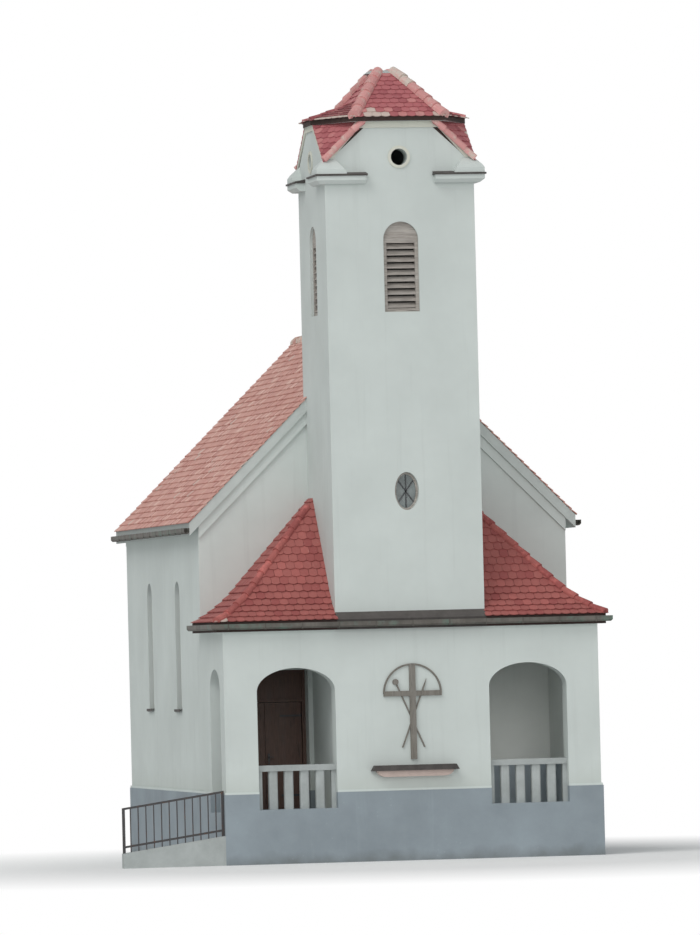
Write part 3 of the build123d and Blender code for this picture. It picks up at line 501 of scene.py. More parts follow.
def metal_finish(name, tone, patina=None, shine=0.55):
    """Sheet metal: matt, with run-off marks and patina, and lighter on top from dust and a painted highlight.
    """
    f = Finish(name)
    body = f.mix(shade(tone, 0.75), shade(tone, 1.35), f.grade(f.noise(3.0, 5.0, 0.65), 0.3, 0.72))
    body = f.mix(body, shade(tone, 2.2), f.grade(f.noise(1.0, 3.0, 0.6, (7, 7, 0.8)), 0.58, 0.82) * 0.4)
    if patina:
        body = f.mix(body, patina, f.grade(f.noise(1.6, 4.0, 0.7), 0.50, 0.66) * 0.55)
    # Lighter on faces that look up: dust, and a painted highlight from above.
    body = f.mix(body, shade(tone, 2.6), f.grade(f.facing_up(), 0.5, 0.95) * 0.35)
    normal = f.bump(f.noise(5.0), 0.25, 0.006)
    return f.finish(body, shine + f.noise(9.0) * 0.3, normal, metallic=0.35)


def iron_finish(name, tone):
    """Painted iron with rust coming through."""
    f = Finish(name)
    rust = f.grade(f.noise(17.0, 5.0, 0.7), 0.56, 0.70)
    body = f.mix(f.mix(shade(tone, 0.8), shade(tone, 1.4), f.noise(6.0)), (0.16, 0.065, 0.03), rust * 0.75)
    normal = f.bump(f.noise(90.0, 3.0), 0.4, 0.001)
    return f.finish(body, 0.5 + rust * 0.35, normal, metallic=0.2)


def glass_finish(name, tone):
    """Old window glass, dark as painted shade of the unlit room behind it: slightly wavy and dusty."""
    f = Finish(name)
    # Painted shade: the dark base colour stands for the unlit room behind the glass.
    body = f.mix(shade(tone, 0.7), shade(tone, 1.8), f.grade(f.noise(2.2, 4.0, 0.6), 0.35, 0.75))
    body = f.mix(body, (0.22, 0.23, 0.22), f.grade(f.noise(9.0, 4.0, 0.7), 0.62, 0.85) * 0.5)
    normal = f.bump(f.noise(4.0, 1.0), 0.25, 0.01)
    return f.finish(body, 0.12 + f.grade(f.noise(7.0), 0.4, 0.8) * 0.2, normal, specular=0.6)


# Shapes


def of_kind(parts, kind):
    """The vertices, edges or faces among some parts of a bmesh."""
    return [part for part in parts if isinstance(part, kind)]


def mesh_from(bm, name):
    """Close a bmesh into a mesh."""
    mesh = bpy.data.meshes.new(name)
    bm.to_mesh(mesh)
    bm.free()
    return mesh


def block(bm, low, high):
    """A plain block between two corners."""
    middle = (Vector(low) + Vector(high)) / 2
    size = Vector(high) - Vector(low)
    place = Matrix.Translation(middle) @ Matrix.Diagonal((*size, 1.0))
    return bmesh.ops.create_cube(bm, size=1.0, matrix=place)["verts"]


def side_block(bm, side, across, along, heights):
    """A block on one side of the middle plane, from its spans across, along and upwards."""
    x0, x1 = sorted(side * place for place in across)
    block(bm, (x0, along[0], heights[0]), (x1, along[1], heights[1]))


def turned_block(bm, low, high, angle, axis, place):
    """A block turned about an axis through the origin and then carried to its place."""
    turn = Matrix.Translation(place) @ Matrix.Rotation(angle, 4, axis)
    bmesh.ops.transform(bm, matrix=turn, verts=block(bm, low, high))


def trim(bm, point, outward):
    """Cut off what lies beyond a plane and close the cut."""
    cut = bmesh.ops.bisect_plane(bm, geom=[*bm.verts, *bm.edges, *bm.faces], dist=SAME_PLACE,
                                 plane_co=Vector(point), plane_no=Vector(outward), clear_outer=True)
    edges = [edge for edge in of_kind(cut["geom_cut"], BMEdge) if edge.is_boundary]
    if edges:
        bmesh.ops.holes_fill(bm, edges=edges, sides=0)


def plane_through(first, second, third, inside):
    """The plane through three points, as a point and the direction away from a point inside."""
    normal = (second - first).cross(third - first).normalized()
    return first, -normal if normal.dot(inside - first) > 0 else normal


def slope_of(normal):
    """The level direction up a slope, and its pitch, from the direction that its face looks in."""
    pitch = atan2(sqrt(normal.x ** 2 + normal.y ** 2), normal.z)
    return Vector((-normal.x, -normal.y, 0)).normalized(), pitch


def solid_between(low, high, planes):
    """A block with everything beyond some planes cut off."""
    bm = bmesh.new()
    block(bm, low, high)
    for point, outward in planes:
        trim(bm, point, outward)
    return bm


def add_to(whole, part):
    """Pour one bmesh into another."""
    mesh = mesh_from(part, "part")
    whole.from_mesh(mesh)
    bpy.data.meshes.remove(mesh)


def copy_of(node):
    """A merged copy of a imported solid's mesh."""
    bm = bmesh.new()
    bm.from_mesh(frame["nodes"][node].data)
    bmesh.ops.remove_doubles(bm, verts=bm.verts[:], dist=SAME_PLACE)
    return bm


def face_through(bm, corners):
    """A flat face with the given corners."""
    return bm.faces.new([bm.verts.new(corner) for corner in corners])


def draw_out(bm, faces, move):
    """Extrude faces by a vector and give back those at the far end."""
    made = bmesh.ops.extrude_face_region(bm, geom=faces)["geom"]
    bmesh.ops.translate(bm, vec=move, verts=of_kind(made, BMVert))
    return of_kind(made, BMFace)


def plate(bm, corners, depth):
    """A flat plate with the given corners, thickened by a vector."""
    draw_out(bm, [face_through(bm, corners)], depth)


def swept_arch(bm, section, centre, axis, rise, steps=14):
    """Carry a small upright section up one jamb, round the head and down the other jamb."""
    foot = face_through(bm, section)
    bm.normal_update()
    top = draw_out(bm, [foot], (0, 0, rise))
    made = bmesh.ops.spin(bm, geom=top, cent=centre, axis=axis, angle=pi, steps=steps, use_duplicate=False)
    draw_out(bm, of_kind(made["geom_last"], BMFace), (0, 0, -rise))


def finish_piece(name, bm, material, body=BODY):
    """Turn a bmesh into a piece that rides on a body."""
    bmesh.ops.recalc_face_normals(bm, faces=bm.faces[:])
    mesh = mesh_from(bm, name)
    mesh.materials.append(material)
    piece = bpy.data.objects.new(name, mesh)
    bpy.context.scene.collection.objects.link(piece)
    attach(piece, body)
    return piece


def frame_matrix(origin, across, along, normal):
    """A place and three directions as a matrix."""
    rotation = Matrix((across, along, normal)).transposed()
    return Matrix.Translation(origin) @ rotation.to_4x4()


def spaced(start, end, count):
    """Evenly spaced places from one end to the other."""
    return [start + number * (end - start) / (count - 1) for number in range(count)]


# Tiles


class Field:
    """Many small like pieces in one mesh, each with its own tone."""

    def __init__(self, shape, seed):
        self.bm = bmesh.new()
        self.tone = self.bm.verts.layers.float.new("tone")
        self.bm.from_mesh(shape)
        self.pattern = [*self.bm.verts, *self.bm.edges, *self.bm.faces]
        self.dice = random.Random(seed)

    def lay(self, matrix, tone=None):
        """One more piece, carried to its place."""
        made = bmesh.ops.duplicate(self.bm, geom=self.pattern)["geom"]
        own_tone = self.dice.random() if tone is None else tone
        for vert in of_kind(made, BMVert):
            vert.co = matrix @ vert.co
            vert[self.tone] = own_tone

    def close(self):
        """Drop the pattern and give the mesh back."""
        bmesh.ops.delete(self.bm, geom=of_kind(self.pattern, BMVert), context="VERTS")
        return self.bm


def plain_tile(tiles, course, lap=1.3):
    """A flat tile with a rounded lower edge. Its origin is the middle of that edge, y runs up the slope."""
    bm = bmesh.new()
    bmesh.ops.create_grid(bm, x_segments=4, y_segments=1, size=0.5)
    for vert in bm.verts:
        vert.co.y = TILE_BOW * (2 * vert.co.x) ** 2 if vert.co.y < 0 else course * lap
        vert.co.x *= tiles.width * TILE_FILL
    draw_out(bm, bm.faces[:], (0, 0, tiles.thickness))
    bmesh.ops.recalc_face_normals(bm, faces=bm.faces[:])
    return mesh_from(bm, "plain_tile")


def half_round_tile(tiles, size, lap=1.2, narrow=0.82):
    """A tapered half-round tile. Its origin is under its wide lower end, y runs up along it."""
    height, radius = tiles.hip_length * lap, tiles.hip_radius * size
    along_y = Matrix.Translation((0, height / 2, 0)) @ Matrix.Rotation(-pi / 2, 4, "X")
    bm = bmesh.new()
    bmesh.ops.create_cone(bm, cap_ends=True, segments=14, radius1=radius, radius2=radius * narrow,
                          depth=height, matrix=along_y)
    trim(bm, (0, 0, -radius * HALF_ROUND_SINK), (0, 0, -1))
    return mesh_from(bm, "half_round_tile")


def straight_slope(pitch):
    """A plain roof slope: where its surface is, a distance up from the eave."""
    def at(distance):
        return distance * cos(pitch), distance * sin(pitch), pitch
    return at


def bell_slope(eave_pitch, pitch, run):
    """A slope that flares at its eave: an arc over the first run, then straight."""
    chord = run / cos((eave_pitch + pitch) / 2)
    radius = chord / (2 * sin((pitch - eave_pitch) / 2))
    arc = radius * (pitch - eave_pitch)

    def at(distance):
        if distance >= arc:
            rise = radius * (cos(eave_pitch) - cos(pitch))
            return run + (distance - arc) * cos(pitch), rise + (distance - arc) * sin(pitch), pitch
        turn = eave_pitch + distance / radius
        return radius * (sin(turn) - sin(eave_pitch)), radius * (cos(eave_pitch) - cos(turn)), turn
    return at


def lay_slope(field, foot, inward, slope, span, reach, tiles, course, keep=None, light_foot=False):
    """Courses of plain tiles on one slope.

    foot is a point on the eave and inward the level direction up the slope. span is where the courses start
    and end along the eave, and reach is the length of the slope. keep says which places have a tile, and
    light_foot limes most of the first course."""
    width, thickness, dice = tiles.width, tiles.thickness, field.dice
    start, end = span
    across = inward.cross(UP)
    for row in range(ceil((reach + TILE_OVERHANG) / course)):
        distance = row * course - TILE_OVERHANG
        run, rise, pitch = slope(max(distance, 0.0))
        up = inward * cos(pitch) + UP * sin(pitch)
        normal = across.cross(up)
        shift = width / 2 if row % 2 else 0.0
        for column in range(ceil((end - start) / width) + 1):
            at = start + shift + (column - 0.5) * width
            place = foot + inward * run + UP * rise + across * at
            if distance < 0:
                place = place + up * distance
            if keep and not keep(place):
                continue
            tilt = atan2(thickness * TILE_STEP, course) + dice.uniform(-TILE_TILT, TILE_TILT)
            swing = dice.uniform(-TILE_SWING, TILE_SWING)
            matrix = frame_matrix(place + normal * (thickness * TILE_LIFT), across, up, normal)
            matrix = matrix @ Matrix.Rotation(-tilt, 4, "X") @ Matrix.Rotation(swing, 4, "Z")
            limed = light_foot and row == 0 and dice.random() < LIMED_SHARE
            field.lay(matrix, LIMED_TONE if limed else None)


def lay_line(field, start, end, step, outward):
    """Half-round tiles from the foot to the head of an edge, overlapping like scales."""
    start, outward = Vector(start), Vector(outward)
    line = Vector(end) - start
    along = line.normalized()
    normal = (outward - along * outward.dot(along)).normalized()
    across = along.cross(normal)
    count = max(1, round(line.length / step))
    for number in range(count):
        tilt = Matrix.Rotation(-HIP_TILT + field.dice.uniform(-TILE_SWING, TILE_SWING), 4, "X")
        field.lay(frame_matrix(start + line * (number / count), across, along, normal) @ tilt)


def tile_facet(whole, shape, ends, peak, tiles, seed, light_foot=False):
    """Tile the flat between the two ends of an eave and a peak, and pour it into a whole."""
    first, second = ends
    middle = (first + second) / 2
    inward, pitch = slope_of(plane_through(first, second, peak, middle - UP * WELL_INSIDE)[1])
    across = inward.cross(UP)
    foot = first if first.z < second.z else second
    places = [(end - foot).dot(across) for end in ends]
    field = Field(shape, seed)
    lay_slope(field, foot, inward, straight_slope(pitch), (min(places) - SPARE, max(places) + SPARE),
              (peak.z - foot.z) / sin(pitch), tiles, tiles.tower_course, None, light_foot)
    bm = field.close()
    for end in ends:
        trim(bm, *plane_through(end, peak, end + UP, middle))
    bmesh.ops.delete(bm, geom=[vert for vert in bm.verts if not vert.link_faces], context="VERTS")
    add_to(whole, bm)


# The tower's head


class TowerHead:
    """Places on the tower's head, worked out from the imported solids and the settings."""

    # The helm's eave over the gables, its peak over that eave, and the skirt's eave over the helm's
    eave_lift = 0.09
    helm_rise = 1.23
    flank_lift = 0.02

    def __init__(self, tiles):
        low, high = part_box("tower_gables")
        helm_low, helm_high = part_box("tower_helm")
        self.centre = Vector((0, (low.y + high.y) / 2, 0))
        self.half = high.x
        self.clip_z = high.z
        self.foot_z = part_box("tower_kneelers")[1].z
        self.inside = self.centre + UP * self.foot_z
        self.eave_y = self.centre.y - helm_low.y
        self.eave_z = self.clip_z + self.eave_lift
        self.top_z = helm_high.z
        self.peak = self.centre + UP * (self.eave_z + self.helm_rise)
        self.skirt_peak = self.centre + UP * (self.eave_z + tiles.skirt_rise)
        gables = frame["nodes"]["tower_gables"].data.vertices
        helm = frame["nodes"]["tower_helm"].data.vertices
        self.clip_x = max(vert.co.x for vert in gables
                          if abs(vert.co.z - high.z) < NEAR and abs(vert.co.y - low.y) < NEAR)
        self.eave_x = max(vert.co.x for vert in helm if abs(vert.co.y - helm_low.y) < NEAR)
        self.side_z = self.clip_z + tiles.side_peak
        self.side_half = tiles.side_half
        self.side_x = self.half + tiles.side_overhang

    def corner(self, side, end):
        """A corner roof's tip and the ends of its level top, and the ends of the helm's two eaves over it."""
        return Corner(*(self.centre + Vector(place) for place in (
            (side * self.half, end * self.half, self.foot_z),
            (side * self.clip_x, end * self.half, self.clip_z),
            (side * self.half, end * self.side_half, self.side_z),
            (side * self.eave_x, end * self.eave_y, self.eave_z),
            (side * self.side_x, end * self.side_half, self.eave_z + self.flank_lift))))

    def corner_plane(self, side, end):
        """The plane of a corner roof."""
        corner = self.corner(side, end)
        return plane_through(corner.tip, corner.clip, corner.gable, self.inside)

    def front(self, end):
        """The ends of the helm's eave over the front or the rear gable."""
        return self.corner(-1, end).eave, self.corner(1, end).eave

    def side(self, side):
        """The ends of the steep body's foot along one side."""
        return self.corner(side, -1).eave, self.corner(side, 1).eave

    def flank(self, side):
        """The ends of the skirt's eave over a side gable."""
        return self.corner(side, -1).flank, self.corner(side, 1).flank


def gables_and_beds(head):
    """The gables' walls cut down to low side gables, and the solids of the roofs on their corners."""
    gables, beds = copy_of("tower_gables"), bmesh.new()
    cover, depth, foot_room, top_room = 0.09, 0.13, 0.25, 0.06
    half = head.half - 0.003
    for side, end in CORNERS:
        point, outward = head.corner_plane(side, end)
        trim(gables, point - outward * cover, outward)
        low = Vector((min(0, side * half), head.centre.y + min(0, end * half), head.foot_z - foot_room))
        high = Vector((max(0, side * half), head.centre.y + max(0, end * half), head.clip_z + top_room))
        add_to(beds, solid_between(low, high, [(point, outward), (point - outward * depth, -outward)]))
    return gables, beds


def gable_bands(head):
    """The raised bands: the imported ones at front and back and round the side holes, and new side ones."""
    bands = copy_of("tower_gable_mouldings")
    proud, drop, tip_share = 0.028, Vector((0, 0, -0.15)), 0.6
    ring_half, ring_z = 0.26, head.foot_z + 0.02
    front_y, back_y = head.centre.y - head.half, head.centre.y + head.half
    gone = []
    for face in bands.faces:
        middle = face.calc_center_median()
        on_side = front_y + 0.001 < middle.y < back_y - 0.001 or abs(middle.x) > head.half + 0.0005
        ring = abs(middle.y - head.centre.y) < ring_half and abs(middle.z - ring_z) < ring_half
        if on_side and not ring:
            gone.append(face)
    bmesh.ops.delete(bands, geom=gone, context="FACES")
    for side, end in CORNERS:
        tip, gable = head.corner(side, end).tip, head.corner(side, end).gable
        plate(bands, (tip, gable, gable + drop, tip + drop * tip_share), Vector((side * proud, 0, 0)))
    for side in (-1, 1):
        first, second = head.corner(side, -1).gable, head.corner(side, 1).gable
        plate(bands, (first, second, second + drop, first + drop), Vector((side * proud, 0, 0)))
    return bands


def helm_solid(head):
    """The helm: a steep body, and under it a low skirt that spreads to the sides."""
    spare_x, spare_y = 0.3, 0.2
    reach = head.half + spare_x
    low = head.centre + Vector((-reach, -reach - spare_y, head.clip_z))
    high = head.centre + Vector((reach, reach + spare_y, head.peak.z))
    body, skirt = [((0, 0, head.top_z), UP)], []
    for side in (-1, 1):
        for first, second in (head.front(side), head.side(side)):
            body.append(plane_through(first, second, head.peak, head.inside))
            body.append(plane_through(first, second, first - UP, head.inside))
        for first, second in (head.front(side), head.flank(side)):
            skirt.append(plane_through(first, second, head.skirt_peak, head.inside))
            point, outward = plane_through(first, second, first - UP, head.inside)
            skirt.append((point - outward * HAIR, outward))
    for side, end in CORNERS:
        corner = head.corner(side, end)
        skirt.append(plane_through(corner.eave, corner.flank, head.skirt_peak, head.inside))
        skirt.append(plane_through(corner.eave, corner.flank, corner.eave - UP, head.inside))
    helm = solid_between(low, high, body)
    add_to(helm, solid_between(low + UP * HAIR, high, skirt))
    return helm


# Camera, floor and light


def studio_camera(scene, s):
    """The camera, placed and leaned like the one that took the photograph."""
    place = Vector((-sin(s.azimuth) * s.distance, porch_front - cos(s.azimuth) * s.distance, s.height))
    ahead = (Vector(s.aim) - place).normalized()
    right = ahead.cross(UP).normalized()
    up = right.cross(ahead)
    data = bpy.data.cameras.new("camera")
    data.lens = s.lens
    data.sensor_width = 36.0
    data.clip_start = 1.0
    data.clip_end = 3000.0
    camera = bpy.data.objects.new("camera", data)
    camera.matrix_world = frame_matrix(place, right * cos(s.roll) - up * sin(s.roll),
                                       right * sin(s.roll) + up * cos(s.roll), -ahead)
    scene.collection.objects.link(camera)
    scene.camera = camera


def studio_floor(scene, s):
    """A wide level floor, which the camera sees fade into white round the chapel."""
    fade_start, fade_end = 7.0, 17.0
    f = Finish("studio_floor")
    near = f.node("ShaderNodeBsdfDiffuse", None, {"Color": (*s.floor_colour, 1.0)})
    far = f.node("ShaderNodeEmission", None, {"Color": WHITE, "Strength": 1.0})
    distance = f.node("ShaderNodeVectorMath", {"operation": "LENGTH"}, {0: f.place}, "Value")
    fade = f.grade(distance, fade_start, fade_end) * f.node("ShaderNodeLightPath", output="Is Camera Ray")
    mixed = f.node("ShaderNodeMixShader", None, {0: fade, 1: near, 2: far})
    f.node("ShaderNodeOutputMaterial", None, {"Surface": mixed})
    bm = bmesh.new()
    bmesh.ops.create_circle(bm, cap_ends=True, segments=96, radius=900.0)
    mesh = mesh_from(bm, "studio_floor")
    mesh.materials.append(f.owner)
    floor = bpy.data.objects.new("studio_floor", mesh)
    scene.collection.objects.link(floor)


def studio_sky(scene, s):
    """Even light from all round, and plain white where the camera, a mirror or clear glass looks out."""
    f = Nodes(bpy.data.worlds.new("studio"))
    lit = f.node("ShaderNodeBackground", None, {"Color": (0.95, 0.98, 1.0, 1.0), "Strength": s.sky})
    white = f.node("ShaderNodeBackground", None, {"Color": WHITE, "Strength": 1.0})
    seen, mirrored, through = (f.node("ShaderNodeLightPath", output=f"Is {ray} Ray")
                               for ray in ("Camera", "Glossy", "Transmission"))
    looks_out = f.larger(f.larger(seen, mirrored), through)
    chosen = f.node("ShaderNodeMixShader", None, {0: looks_out, 1: lit, 2: white})
    f.node("ShaderNodeOutputWorld", None, {"Surface": chosen})
    scene.world = f.owner


def studio_lamps(scene, s):
    """Two soft suns: one from high on the left, and a low one from the front that shines into the porch."""
    for name, energy, tilt, turn in (("soft_lamp", s.lamp, 44, -48), ("low_lamp", s.low_lamp, 76, -2)):
        sun = bpy.data.lights.new(name, "SUN")
        sun.energy = energy
        sun.angle = radians(38)
        sun.color = (1.0, 0.99, 0.97)
        lamp = bpy.data.objects.new(name, sun)
        lamp.rotation_euler = (radians(tilt), 0, radians(turn))
        scene.collection.objects.link(lamp)


# Operators


class CHAPEL_OT_stage(bpy.types.Operator):
    """Set the camera, the floor, the sky, the lamps and the view transform"""

    bl_idname = "chapel.stage"
    bl_label = "Camera and Studio"

    def execute(self, context):
        for make in (studio_camera, studio_floor, studio_sky, studio_lamps):
            make(context.scene, context.scene.chapel_studio)
        context.scene.view_settings.view_transform = "Standard"
        return {"FINISHED"}


class CHAPEL_OT_finishes(bpy.types.Operator):
    """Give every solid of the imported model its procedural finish"""

    bl_idname = "chapel.finishes"
    bl_label = "Finishes of the Solids"

    def execute(self, context):
        walls = context.scene.chapel_walls
        tiles = context.scene.chapel_tiles
        parts = context.scene.chapel_fittings
        made = {
            "white_plaster": plaster_finish("white_plaster", walls.plaster[:]),
            "cream_plaster": plaster_finish("cream_plaster", walls.cream[:], 0.0),
            "plinth_paint": plinth_finish("plinth_paint", walls.plinth[:]),
            "floor_stone": stone_finish("floor_stone", walls.stone[:]),
            "light_concrete": concrete_finish("light_concrete", walls.concrete[:]),
            "pink_stone": concrete_finish("pink_stone", walls.pink[:]),
            # Painted shade: the red and pale beds are half as light as their darkest tiles, to show as shade
            # between the tiles; the red roofs' dark edges are partly painted shade under the eaves.
            "red_tiles": roof_bed_finish("red_tile_bed", shade(tiles.dark_red, 0.5), walls.plaster[:],
                                         tiles.eave_boards_and_shade[:]),
            "pale_red_tiles": roof_bed_finish("pale_tile_bed", shade(tiles.pale_dark, 0.5), walls.plaster[:],
                                              shade(walls.plaster, 0.97)),
            "weathered_metal": metal_finish("gutter_metal", parts.gutter[:], (0.13, 0.22, 0.18)),
            "dark_sheet_metal": metal_finish("dark_sheet_metal", parts.metal[:]),
            "weathered_brown_wood": wood_finish("louvre_wood", parts.louvre[:], (0.08, 0.08, 1.0), 0.5, 0.7),
            "dark_brown_wood": wood_finish("door_wood", parts.door[:], (1.0, 1.0, 0.08), 0.2, 0.45),
            "cross_wood": wood_finish("cross_wood", parts.cross[:], (1.0, 1.0, 0.1), 0.55, 0.7),
            "window_glass": glass_finish("window_glass", parts.glass[:]),
            "dark_iron": iron_finish("dark_iron", parts.iron[:]),
        }
        finish_of = {entry["node"]: made[entry["material_slot"]] for entry in frame["record"]["subparts"]}
        for name, node in frame["nodes"].items():
            if name not in finish_of:
                raise RuntimeError("no finish for " + name)
            node.data.materials.clear()
            node.data.materials.append(finish_of[name])
        return {"FINISHED"}


class CHAPEL_OT_nave_roof(bpy.types.Operator):
    """Tile the nave's two slopes and its ridge"""

    bl_idname = "chapel.nave_roof"
    bl_label = "Nave Roof Tiles"

    def execute(self, context):
        tiles = context.scene.chapel_tiles
        dark, light, mortar = tiles.pale_dark[:], tiles.pale_light[:], tiles.mortar[:]
        finish = tile_finish("pale_clay", dark, tiles.pale[:], light, mortar, 0.3)
        ridge_finish = hip_finish("ridge_clay", dark, light, mortar)
        low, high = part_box("nave_roof_left")
        eave_x = -low.x
        foot_z = high.z - eave_x * tan(NAVE_PITCH)
        half = (high.y - low.y) / 2
        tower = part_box("tower_shaft")[1]
        shape = plain_tile(tiles, tiles.nave_course)

        def outside_tower(place):
            return abs(place.x) > tower.x - TOWER_JOINT or place.y > tower.y - TOWER_JOINT

        for side, word in SIDES:
            field = Field(shape, 11 + side)
            foot = Vector((side * eave_x, (low.y + high.y) / 2, foot_z))
            lay_slope(field, foot, Vector((-side, 0, 0)), straight_slope(NAVE_PITCH), (-half, half),
                      eave_x / cos(NAVE_PITCH), tiles, tiles.nave_course, outside_tower)
            bm = field.close()
            trim(bm, (0, low.y - EDGE, 0), -BACK)
            trim(bm, (0, high.y + EDGE, 0), BACK)
            trim(bm, (0, 0, 0), (-side, 0, 0))
            finish_piece(f"nave_tiles_{word}", bm, finish)

        end_lap, end_cut = 0.03, 0.04
        ridge = Field(half_round_tile(tiles, 1.15), 3)
        lay_line(ridge, (0, tower.y - EDGE, high.z - EDGE), (0, high.y + end_lap, high.z - EDGE),
                 tiles.hip_length, UP)
        bm = ridge.close()
        trim(bm, (0, high.y + end_cut, 0), BACK)
        finish_piece("nave_ridge_tiles", bm, ridge_finish)
        return {"FINISHED"}


class CHAPEL_OT_porch_roof(bpy.types.Operator):
    """Tile the porch's side and front slopes and their hips"""

    bl_idname = "chapel.porch_roof"
    bl_label = "Porch Roof Tiles"

    def execute(self, context):
        tiles = context.scene.chapel_tiles
        dark, light = tiles.dark_red[:], tiles.coral[:]
        finish = tile_finish("red_clay", dark, tiles.red[:], light, tiles.mortar[:], 0.25)
        edge_finish = hip_finish("hip_clay", dark, light, shade(light, 1.5))
        low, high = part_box("porch_roof_left")
        eave_x, tower_x = -low.x, -high.x
        eave_z = low.z + PORCH_EAVE_DEPTH
        slope = bell_slope(PORCH_EAVE_PITCH, PORCH_PITCH, PORCH_FLARE)
        shape = plain_tile(tiles, tiles.porch_course, 1.25)

        side_length, side_reach, front_length, front_reach = 3.4, 4.1, 2.9, 4.4
        hip_lean = 1.2

        def past_corner(direction, length):
            return (-CORNER_LAP, length) if direction > 0 else (-length, CORNER_LAP)

        for side, word in SIDES:
            corner = Vector((side * eave_x, low.y, eave_z))
            over_hip = Vector((-side, -1, 0)).normalized()
            beside_tower = (side * (tower_x - EDGE), 0, 0)
            for name, seed, inward, beyond, span, reach in (
                    ("side", 21, Vector((-side, 0, 0)), over_hip, past_corner(side, side_length), side_reach),
                    ("front", 31, BACK, -over_hip, past_corner(-side, front_length), front_reach)):
                field = Field(shape, seed + side)
                lay_slope(field, corner, inward, slope, span, reach, tiles, tiles.porch_course)
                bm = field.close()
                trim(bm, corner, beyond)
                trim(bm, (0, high.y + EDGE, 0), BACK)
                trim(bm, beside_tower, (-side, 0, 0))
                finish_piece(f"porch_{name}_tiles_{word}", bm, finish)

            hips = Field(half_round_tile(tiles, 0.8), 41 + side)
            stops = []
            for step in range(HIP_STOPS):
                run, rise = slope(step * HIP_STEP)[:2]
                if run <= eave_x - tower_x:
                    stops.append(corner + Vector((-side * run, run, rise + EDGE)))
            for start, end in zip(stops, stops[1:]):
                lay_line(hips, start, end, (end - start).length, (side, -1, hip_lean))
            bm = hips.close()
            trim(bm, beside_tower, (-side, 0, 0))
            finish_piece(f"porch_hip_tiles_{word}", bm, edge_finish)
        return {"FINISHED"}


class CHAPEL_OT_tower_head(bpy.types.Operator):
    """Shape the tower's low side gables, its corner roofs and its helm as the photo shows them"""

    bl_idname = "chapel.tower_head"
    bl_label = "Tower Head"

    def execute(self, context):
        tiles = context.scene.chapel_tiles
        walls = context.scene.chapel_walls
        head = TowerHead(tiles)
        # Painted shade: the helm's bed is darker than its darkest tiles, to show as shade between them, and
        # its dark edges are partly painted shade under the eaves.
        painted_shade_bed = roof_bed_finish("helm_bed", shade(tiles.helm_dark, 0.45), walls.plaster[:], tiles.eave_boards_and_shade[:])
        plaster = plaster_finish("gable_plaster", walls.plaster[:], 0.0)
        cream = plaster_finish("band_plaster", walls.cream[:], 0.0)
        gables, beds = gables_and_beds(head)
        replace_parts(finish_piece("tower_gable_walls", gables, plaster), "tower_gables")
        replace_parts(finish_piece("corner_roof_beds", beds, painted_shade_bed), "tower_corner_roofs")
        bands = finish_piece("gable_bands", gable_bands(head), cream)
        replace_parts(bands, "tower_gable_mouldings")
        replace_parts(finish_piece("helm_bed", helm_solid(head), painted_shade_bed), "tower_helm")
        return {"FINISHED"}


